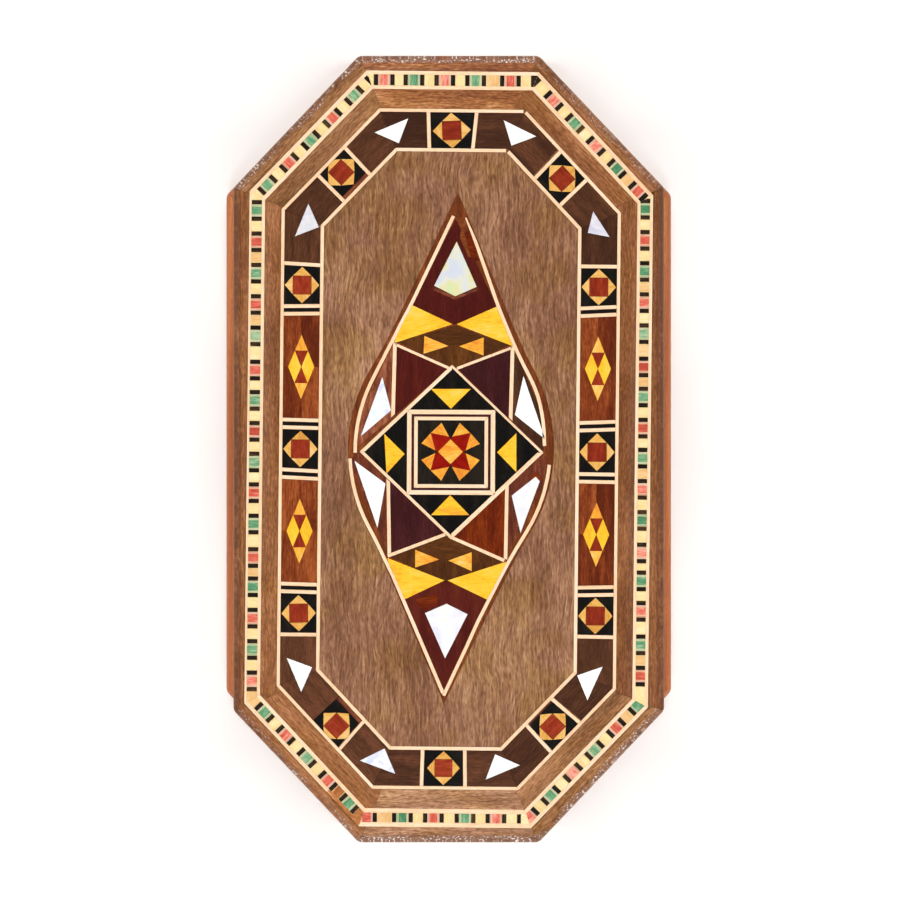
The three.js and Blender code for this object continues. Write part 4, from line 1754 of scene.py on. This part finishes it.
@dataclass(frozen=True)
class Oval:
    """The pointed oval's outline: a bulge at its waist, a slight hollow, then straight flanks."""

    half_width: float = 28.2
    bulge: float = 45.0
    bulge_angle: float = 30.0
    hollow: float = 134.0
    back_flank: float = 24.0
    front_flank: float = 24.6

    def half_width_at(self, y: float) -> float:
        """Gives half of the oval's width at a distance from its waist.

        Args:
            y: The distance, positive towards the back.

        Returns:
            Half of its width there.
        """
        flank = math.radians(self.back_flank if y > 0 else self.front_flank)
        rise, lean = abs(y), math.radians(self.bulge_angle)
        waist = self.half_width - self.bulge
        if rise <= self.bulge * math.sin(lean):
            return waist + math.sqrt(self.bulge**2 - rise**2)
        centre_x = waist + (self.bulge + self.hollow) * math.cos(lean)
        centre_y = (self.bulge + self.hollow) * math.sin(lean)
        start_y = centre_y - self.hollow * math.sin(flank)
        if rise <= start_y:
            return centre_x - math.sqrt(self.hollow**2 - (centre_y - rise) ** 2)
        return centre_x - self.hollow * math.cos(flank) - (rise - start_y) * math.tan(flank)


@dataclass(frozen=True)
class OvalLine:
    """One bent cream line of the oval: which flank it follows, and how far off it strays.

    A stray is a distance from the waist and how far outwards the line lies there.
    """

    hand: int
    start: float
    end: float
    strays: Corners
    # How much of its width is left at its start, where it was scraped thin.
    left: float = 1.0


@dataclass(frozen=True)
class Inlay:
    """A flat piece of the medallion: its corners, its wood, its frame and its tone."""

    corners: Corners
    finish: Wood
    place: Place = OVAL_PLACE
    tone: "float | None" = None


@dataclass
class Medallion:
    """The pointed oval in the middle of the lid, with its turned square."""

    bench: Bench
    oval: Oval = Oval()
    line_width: float = 0.95
    line_steps: int = 28
    # How fast a scraped line gets its width back, as a share for each millimetre.
    regain: float = 0.08
    # How far the fields run in under the lines.
    overlap: float = 0.02
    # The top and the height of the solid that trims the fields.
    trim_top: float = 63.0
    trim_height: float = 3.0
    shells: dict[str, Pearl] = field(
        default_factory=lambda: {
            "kite_shell_back": GOLD_PEARL,
            "kite_shell_front": PALE_PEARL,
            "side_shell_back_left": LAVENDER_PEARL,
            "side_shell_back_right": WHITE_PEARL,
            "side_shell_front_left": WHITE_PEARL,
            "side_shell_front_right": PALE_PEARL,
        }
    )
    lines: tuple[OvalLine, ...] = (
        OvalLine(-1, 66.0, -1.5, ((66, -0.9), (40, -0.9), (36, -0.6), (28, -0.6), (20, -1.2), (-1.5, -1.2))),
        OvalLine(
            1, 65.6, 1.9,
            ((65.6, 0.2), (60, 0.2), (56, 0), (48, -0.5), (40, -1), (32, -1), (24, -1.2), (16, -1.2),
             (4, -1.8), (1.9, -1.8)),
            0.4,
        ),
        OvalLine(-1, -3.2, -68.6, ((-3.2, 0.3), (-32, 0.3), (-36, 0), (-64, -0.1), (-68.6, -0.1))),
        OvalLine(
            1, -3.4, -69.3,
            ((-3.4, -0.2), (-24, -0.2), (-36, -0.6), (-48, -0.8), (-56, -0.5), (-69.3, -0.2)),
        ),
    )

    def build(self) -> None:
        """Lays the fields, motifs and lines of the oval round its square and shells, then dresses the
        shells.
        """
        parts = [self.bench.ground("medallion", EDGING)]
        inside = self.inside()
        layers = (
            (self.fields(), GROUND_TOP, FIELD_TOP, 90.0),
            (self.motifs(), FIELD_TOP, LID_TOP, 0.0),
            (self.strips(), GROUND_TOP, LID_TOP, 90.0),
        )
        for inlays, bottom, top, grain in layers:
            for inlay in inlays:
                spots = inlay.place.put(inlay.corners)
                piece = self.bench.sawn(spots, inlay.finish, bottom, top, grain, inlay.tone)
                self.bench.trimmed(piece, inside, "INTERSECT")
                parts.append(piece)
        for line in self.lines:
            parts.append(self.bench.bent(self.path(line), self.widths(line), CREAM_LINE))
        bpy.data.objects.remove(inside)
        medallion = self.bench.glued("medallion_inlay", parts)
        self.bench.fitted(medallion, "medallion_tesserae", ["medallion"])
        for name, pearl in self.shells.items():
            self.bench.dressed(name, pearl)

    def stray(self, line: OvalLine, y: float) -> float:
        """Gives how far a line strays outwards from the oval.

        Args:
            line: The line.
            y: The distance from the waist, positive towards the back.

        Returns:
            The distance outwards.
        """
        for (y1, stray1), (y2, stray2) in zip(line.strays, line.strays[1:]):
            if y2 <= y <= y1:
                return stray1 + (stray2 - stray1) * (y1 - y) / (y1 - y2)
        return line.strays[-1][1]

    def path(self, line: OvalLine, inwards: float = 0.0) -> Outline:
        """Marks out a bent line.

        Args:
            line: The line.
            inwards: How far inside its middle the path runs.

        Returns:
            The path on the lid.
        """
        path = []
        for y in self.steps(line):
            path.append((line.hand * (self.oval.half_width_at(y) + self.stray(line, y) - inwards), y))
        return OVAL_PLACE.put(path)

    def steps(self, line: OvalLine) -> list[float]:
        """Gives how far from the waist each point of a line lies."""
        reach = line.end - line.start
        return [line.start + reach * step / self.line_steps for step in range(self.line_steps + 1)]

    def widths(self, line: OvalLine) -> list[float]:
        """Gives a line's width at each of its points; a scraped one is whole after a while."""
        shares = [min(1.0, line.left + abs(y - line.start) * self.regain) for y in self.steps(line)]
        return [self.line_width * share for share in shares]

    def inside(self) -> bpy.types.Object:
        """Makes the solid inside the cream lines, with room for the shells and the square.

        Returns:
            The solid, which trims the fields.
        """
        inwards = self.line_width / 2 - self.overlap
        left = [self.path(line, inwards) for line in self.lines if line.hand < 0]
        right = [self.path(line, inwards) for line in self.lines if line.hand > 0]
        outline = left[0] + left[1] + (right[0] + right[1])[::-1]
        bpy.ops.object.select_all(action="DESELECT")
        top = (0, 0, self.trim_top * MM)
        bpy.ops.mesh.primitive_circle_add(
            vertices=len(outline), radius=MM, fill_type="NGON", calc_uvs=False, location=top
        )
        tool = bpy.context.object
        bpy.ops.object.transform_apply(location=True, rotation=True, scale=True)
        for vertex, spot in zip(tool.data.vertices, outline):
            vertex.co.xy = spot * MM
        self.bench.thickened(tool, self.trim_height)
        for name in (*self.shells, "star_square"):
            self.bench.trimmed(tool, self.bench.nodes[name], "DIFFERENCE")
        return tool

    def fields(self) -> list[Inlay]:
        """Lists the large fields of the oval, from the back to the front.

        Returns:
            The fields.
        """
        return [
            Inlay(((-0.5, 65.2), (-12.4, 40), (0, 35.3), (12.2, 40), (1.1, 62.2)), MAROON, tone=-0.02),
            Inlay(((-15.9, 30), (0, 35.2), (15.9, 30), (0, 22.6)), BROWN_GROUND, tone=0.09),
            Inlay(((-16.1, 28.9), (-1.4, 22.9), (-16.1, 9.2)), MAROON),
            Inlay(((16.1, 28.9), (1.4, 22.9), (16.1, 9.2)), PURPLE, tone=-0.1),
            Inlay(((-17.1, 29.5), (-17.1, 8.4), (-26, 0.5), (-29, 3)), SIDE_GROUND, tone=0.12),
            Inlay(((17.1, 29.5), (17.1, 8.4), (26, 0.5), (29, 3)), CORNER_WOOD, tone=-0.1),
            Inlay(((-17.1, -29.5), (-17.1, -8.4), (-26, -0.5), (-29, -3)), SIDE_GROUND, tone=-0.14),
            Inlay(((16.6, -29.5), (16.6, -8.4), (26, -0.5), (29, -3)), SIDE_GROUND, tone=-0.16),
            Inlay(((-16.4, -29.6), (-1.1, -24), (-16.8, -8.4)), PURPLE, LID_PLACE, 0.03),
            Inlay(((15.6, -30.8), (0.6, -24.4), (16.2, -10)), RUSSET, LID_PLACE),
            Inlay(((-16.5, -30.4), (-1, -37.6), (15, -31.8), (-0.4, -24.2)), BROWN_GROUND, LID_PLACE, -0.04),
            Inlay(((-12.4, -42), (-0.9, -37.1), (10.9, -42), (-2, -69)), MAROON, LID_PLACE, 0.12),
        ]

    def motifs(self) -> list[Inlay]:
        """Lists the yellow triangles, and the darker and lighter pieces laid in between them.

        Returns:
            The pieces.
        """
        return [
            Inlay(((-13, 41), (-17, 29.6), (-0.5, 35.5)), BRIGHT_YELLOW, tone=0.06),
            Inlay(((13, 41.4), (0.5, 35.5), (17, 29.6)), BRIGHT_YELLOW, tone=0.06),
            Inlay(((-8.4, 32), (-8.5, 26.9), (-1.4, 29.3)), ORANGE),
            Inlay(((8.4, 32), (1.4, 29.3), (8.5, 26.9)), ORANGE),
            Inlay(
                ((-8.3, 32.2), (-1.3, 29.4), (1.3, 29.4), (8.3, 32.2), (0, 35.1)),
                BROWN_GROUND, tone=-0.05,
            ),
            Inlay(((8.6, 26.9), (15.7, 30), (8.5, 32.1)), BROWN_GROUND, tone=-0.1),
            Inlay(((-0.5, 65.4), (1.1, 62.2), (2.1, 61.2), (1.9, 65.6)), EDGING, tone=0.03),
            Inlay(((1.1, 62.3), (0.8, 60), (3.4, 54.6), (4.2, 54.4), (2.1, 61.3)), EDGING, tone=0.05),
            Inlay(((2.1, 61.3), (4.2, 54.4), (5.4, 53.2), (6.4, 53.8), (5.2, 59), (3.9, 62.5)), RUSSET),
            Inlay(((-6.3, 46), (0, 43.4), (0, 42.4), (-6.1, 44.8)), SIDE_GROUND, tone=-0.05),
            Inlay(((0, 43.4), (6.4, 46), (6.2, 45.1), (0, 42.4)), SIDE_GROUND, tone=-0.08),
            Inlay(((-17.4, -30.6), (-14, -43.1), (-1.2, -37)), BRIGHT_YELLOW, LID_PLACE, 0.06),
            Inlay(((16.2, -31.7), (-0.4, -37), (13, -43.5)), BRIGHT_YELLOW, LID_PLACE, 0.06),
            Inlay(((-9.5, -28.3), (-9.5, -33.4), (-2.6, -31.1)), ORANGE, LID_PLACE),
            Inlay(((6.5, -29), (-0.2, -31.4), (6.5, -34.4)), ORANGE, LID_PLACE),
            Inlay(
                ((-9.3, -28.1), (-2.6, -30.9), (-0.2, -31.2), (6.3, -28.7), (-0.4, -24.5)),
                BROWN_GROUND, LID_PLACE, 0.05,
            ),
            Inlay(((-9.3, -42.4), (-2.8, -40.5), (-3.6, -44.2), (-7.6, -45.6)), RUSSET, LID_PLACE, 0.03),
            Inlay(((22.4, -6.9), (23.8, -5.6), (26.2, -7.6), (24.6, -9)), RUSSET, tone=0.08),
        ]

    def strips(self) -> list[Inlay]:
        """Lists the straight cream strips that divide the oval.

        Returns:
            The strips.
        """
        strips = []
        for out in (1, -1):
            upright = ((16.05, 9.7), (17.15, 8.6), (17.15, 30.5), (16.05, 29.6))
            slanted = ((16.1, 28.75), (16.6, 29.8), (1.0, 23.45), (1.0, 22.55))
            for corners in (upright, slanted):
                strips.append(Inlay(tuple((out * x, y) for x, y in corners), CREAM_LINE))
        lower = (
            ((-16.55, -9.2), (-17.6, -8.3), (-17.3, -29.6), (-16.25, -29.2)),
            ((15.9, -10.5), (16.95, -9.5), (16.55, -31.2), (15.5, -30.75)),
            ((-17.4, -29.65), (-17.05, -30.55), (-0.8, -24.45), (-1.15, -23.55)),
            ((0.2, -24.1), (-0.2, -24.95), (15.5, -31.85), (15.9, -30.95)),
        )
        return strips + [Inlay(corners, CREAM_LINE, LID_PLACE) for corners in lower]


@dataclass
class StarSquare:
    """The turned square in the middle of the medallion, with its framed rosette."""

    bench: Bench
    across: float = 26.0
    along: float = 24.7
    # The widths of the strips at the front right, back right, back left and front left.
    edge_widths: tuple[float, ...] = (1.24, 0.7, 1.05, 0.9)
    # How far an edge's foot is from the middle.
    edge_reach: float = 17.9
    # Half of each frame's width and height, the width of its strips and its wood, outermost first.
    frame_sizes: tuple[tuple[float, float, float, Wood], ...] = (
        (12.45, 12.0, 1.3, CREAM_LINE),
        (11.15, 10.7, 0.7, PURPLE),
        (10.45, 10.05, 1.05, CREAM_LINE),
    )
    frame_place: Place = Place(0.65, -0.85, SQUARE_PLACE.turn)
    rosette_place: Place = Place(0.5, -0.7, SQUARE_PLACE.turn)
    # Half of the middle diamond's diagonal.
    core: float = 3.54
    # Where along its edge of the diamond a wing starts.
    wing_root: float = 0.15
    # How much lighter a red kite is than its wood, by its side and end.
    red_tones: dict[tuple[int, int], float] = field(default_factory=lambda: {(-1, 1): 0.2, (1, 1): 0.05})

    def build(self) -> None:
        """Lays the square's edge, its frame, its triangles and its rosette."""
        parts = [self.bench.ground("star_square", BLACK_WOOD)]
        parts += self.edges()
        parts += self.frames()
        for corners in self.triangles():
            spots = LID_PLACE.put(corners)
            parts.append(self.bench.sawn(spots, BRIGHT_YELLOW, GROUND_TOP, LID_TOP, 0.0))
        parts += self.rosette()
        square = self.bench.glued("star_square_inlay", parts)
        self.bench.fitted(square, "star_tesserae", ["star_square"])

    def edges(self) -> list[bpy.types.Object]:
        """Lays the four cream strips round the square.

        Returns:
            The strips.
        """
        corners = [Vector((self.across, 0)), Vector((0, self.along))]
        corners += [-corners[0], -corners[1]]
        parts = []
        for i, end in enumerate(corners):
            start = corners[i - 1]
            scale = 1 - self.edge_widths[i] / self.edge_reach
            strip = [start, end, end * scale, start * scale]
            grain = math.degrees(math.atan2(end.y - start.y, end.x - start.x))
            spots = SQUARE_PLACE.put(strip)
            parts.append(self.bench.sawn(spots, CREAM_LINE, GROUND_TOP, LID_TOP, grain))
        return parts

    def frame_strips(
        self, half_x: float, half_y: float, width: float, finish: Wood
    ) -> list[bpy.types.Object]:
        """Lays a mitred frame of four strips.

        Args:
            half_x: Half of its outer width.
            half_y: Half of its outer height.
            width: The width of a strip.
            finish: Its wood.

        Returns:
            The strips.
        """
        parts = []
        for i, (dx, dy) in enumerate(((1, 0), (0, 1), (-1, 0), (0, -1))):
            tx, ty = -dy, dx
            outer = [(dx + s * tx, dy + s * ty) for s in (-1, 1)]
            strip = [(x * half_x, y * half_y) for x, y in outer]
            strip += [(x * (half_x - width), y * (half_y - width)) for x, y in reversed(outer)]
            spots = self.frame_place.put(strip)
            parts.append(self.bench.sawn(spots, finish, GROUND_TOP, LID_TOP, 90.0 * (i + 1)))
        return parts

    def frames(self) -> list[bpy.types.Object]:
        """Lays the two cream frames round the rosette, with a rosewood one between them.

        Returns:
            The strips.
        """
        parts = []
        for half_x, half_y, width, finish in self.frame_sizes:
            parts += self.frame_strips(half_x, half_y, width, finish)
        return parts

    def triangles(self) -> list[Corners]:
        """Lists the yellow triangles between the frame and the square's corners.

        Returns:
            Their corners on the lid.
        """
        return [
            ((-5.1, 17.05), (0.6, 11.4), (6.3, 17.05)),
            ((-5.1, -18.6), (5.9, -18.6), (0.4, -12.9)),
            ((-18.2, 4.4), (-17.6, -6.95), (-12.4, -1.3)),
            ((19.1, 4.6), (13.6, -0.85), (19.1, -6.5)),
        ]

    def rosette(self) -> list[bpy.types.Object]:
        """Lays the rosette, a diamond, four red kites and eight yellow wings, on a dark sheet.

        Returns:
            The pieces.
        """
        core = self.core
        sheet = self.frame_place.put(((-9.4, -9), (9.4, -9), (9.4, 9), (-9.4, 9)))
        diamond = self.rosette_place.put(((core, 0), (0, core), (-core, 0), (0, -core)))
        parts = [
            self.bench.sawn(sheet, BLACK_WOOD, GROUND_TOP, FIELD_TOP, 90.0, 0.22),
            self.bench.sawn(diamond, ORANGE, FIELD_TOP, LID_TOP, 0.0, 0.0),
        ]
        for side in (1, -1):
            for end in (1, -1):
                parts += self.quarter(side, end)
        return parts

    def quarter(self, side: int, end: int) -> list[bpy.types.Object]:
        """Lays one quarter of the rosette: its red kite and its two yellow wings.

        Args:
            side: 1 on the right, -1 on the left.
            end: 1 at the back, -1 at the front.

        Returns:
            The pieces.
        """
        outer = Vector((5.6, 5.3))
        wing_up, wing_out = Vector((2.56, 8.2)), Vector((8.3, 2.3))
        north, east = Vector((0, self.core)), Vector((self.core, 0))
        root_up = north.lerp(wing_up, self.wing_root)
        root_out = east.lerp(wing_out, self.wing_root)
        pieces = (
            ((outer, root_up, north, east, root_out), RED_ROSETTE, self.red_tones.get((side, end), -0.02)),
            ((wing_up, root_up, outer), ORANGE, -0.1),
            ((wing_out, outer, root_out), ORANGE, -0.1),
        )
        parts = []
        for points, finish, tone in pieces:
            spots = self.rosette_place.put(tuple((p.x * side, p.y * end) for p in points))
            parts.append(self.bench.sawn(spots, finish, FIELD_TOP, LID_TOP, 45.0 * side * end, tone))
        return parts


# ---- Studio ----------------------------------------------------------------------------------


@dataclass
class Studio:
    """A plain pale floor, soft lights round the box, and a camera straight above it.

    Its lengths are in metres, apart from the lens and the sensor, which are in millimetres.
    """

    floor_size: float = 4.0
    camera_height: float = 0.605
    camera_y: float = 0.018
    lens: float = 77.0
    sensor: float = 36.0
    shift_x: float = 0.0014
    shift_y: float = -0.0717
    light_distance: float = 1.1
    light_size: float = 0.8
    light_rise: float = 0.9
    light_power: float = 12.0
    sky_strength: float = 0.5
    # How high in the sky, from 0 at the horizon to 1 overhead, it has faded to black.
    dark_height: float = 0.9

    def build(self) -> None:
        """Sets the studio up."""
        self.floor()
        self.lights()
        self.camera()
        bpy.context.scene.view_settings.view_transform = "Standard"

    def floor(self) -> None:
        """Lays the floor."""
        bpy.ops.object.select_all(action="DESELECT")
        bpy.ops.mesh.primitive_plane_add(size=self.floor_size, location=(0, 0, 0))
        floor = bpy.context.object
        floor.name = "floor"
        floor.data.materials.append(FLOOR_SHEET.material())

    def lights(self) -> None:
        """Hangs four large soft lights round the box, under a sky that is dark overhead."""
        world = bpy.data.worlds.new("dim_sky")
        world.use_nodes = True
        tree = world.node_tree
        sky = tree.nodes["Background"]
        sky.inputs["Color"].default_value = (1, 1, 1, 1)
        around = add_node(tree, "ShaderNodeTexCoord").outputs["Generated"]
        height = add_node(tree, "ShaderNodeSeparateXYZ", None, {0: around}).outputs["Z"]
        fade = {"From Max": self.dark_height, "To Min": self.sky_strength, "To Max": 0.0}
        strength = add_node(tree, "ShaderNodeMapRange", fade, {"Value": height})
        tree.links.new(strength.outputs["Result"], sky.inputs["Strength"])
        bpy.context.scene.world = world
        for turn in (0, 90, 180, 270):
            data = bpy.data.lights.new(f"softbox_{turn}", "AREA")
            data.shape = "SQUARE"
            data.size = self.light_size
            data.energy = self.light_power
            light = bpy.data.objects.new(data.name, data)
            bpy.context.scene.collection.objects.link(light)
            turned = math.radians(turn)
            spot = Vector((math.cos(turned), math.sin(turned), self.light_rise)) * self.light_distance
            light.location = spot
            light.rotation_euler = spot.to_track_quat("Z", "Y").to_euler()

    def camera(self) -> None:
        """Sets the camera above the lid, looking straight down."""
        data = bpy.data.cameras.new("camera")
        data.lens = self.lens
        data.sensor_width = self.sensor
        data.shift_x = self.shift_x
        data.shift_y = self.shift_y
        camera = bpy.data.objects.new("camera", data)
        camera.location = (0, self.camera_y, self.camera_height)
        camera.rotation_euler = (0, 0, 0)
        bpy.context.scene.collection.objects.link(camera)
        bpy.context.scene.camera = camera


def plain(box: tuple[Vector, Vector]) -> list[list[float]]:
    """Turns a box into plain lists of numbers."""
    return [list(corner) for corner in box]


def main() -> None:
    """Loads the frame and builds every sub-assembly in order."""
    logging.basicConfig(level=logging.INFO, format="%(name)s %(message)s", stream=sys.stdout)
    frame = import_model()
    bench = Bench(frame["nodes"], SEED)
    Carcase(bench).build()
    LidFrame(bench).build()
    MosaicBand(bench).build()
    Stringing(bench).build()
    Blocks(bench).build()
    CornerBlocks(bench).build()
    Medallion(bench).build()
    StarSquare(bench).build()
    bench.cleared()
    Studio().build()


if __name__ == "__main__":
    main()
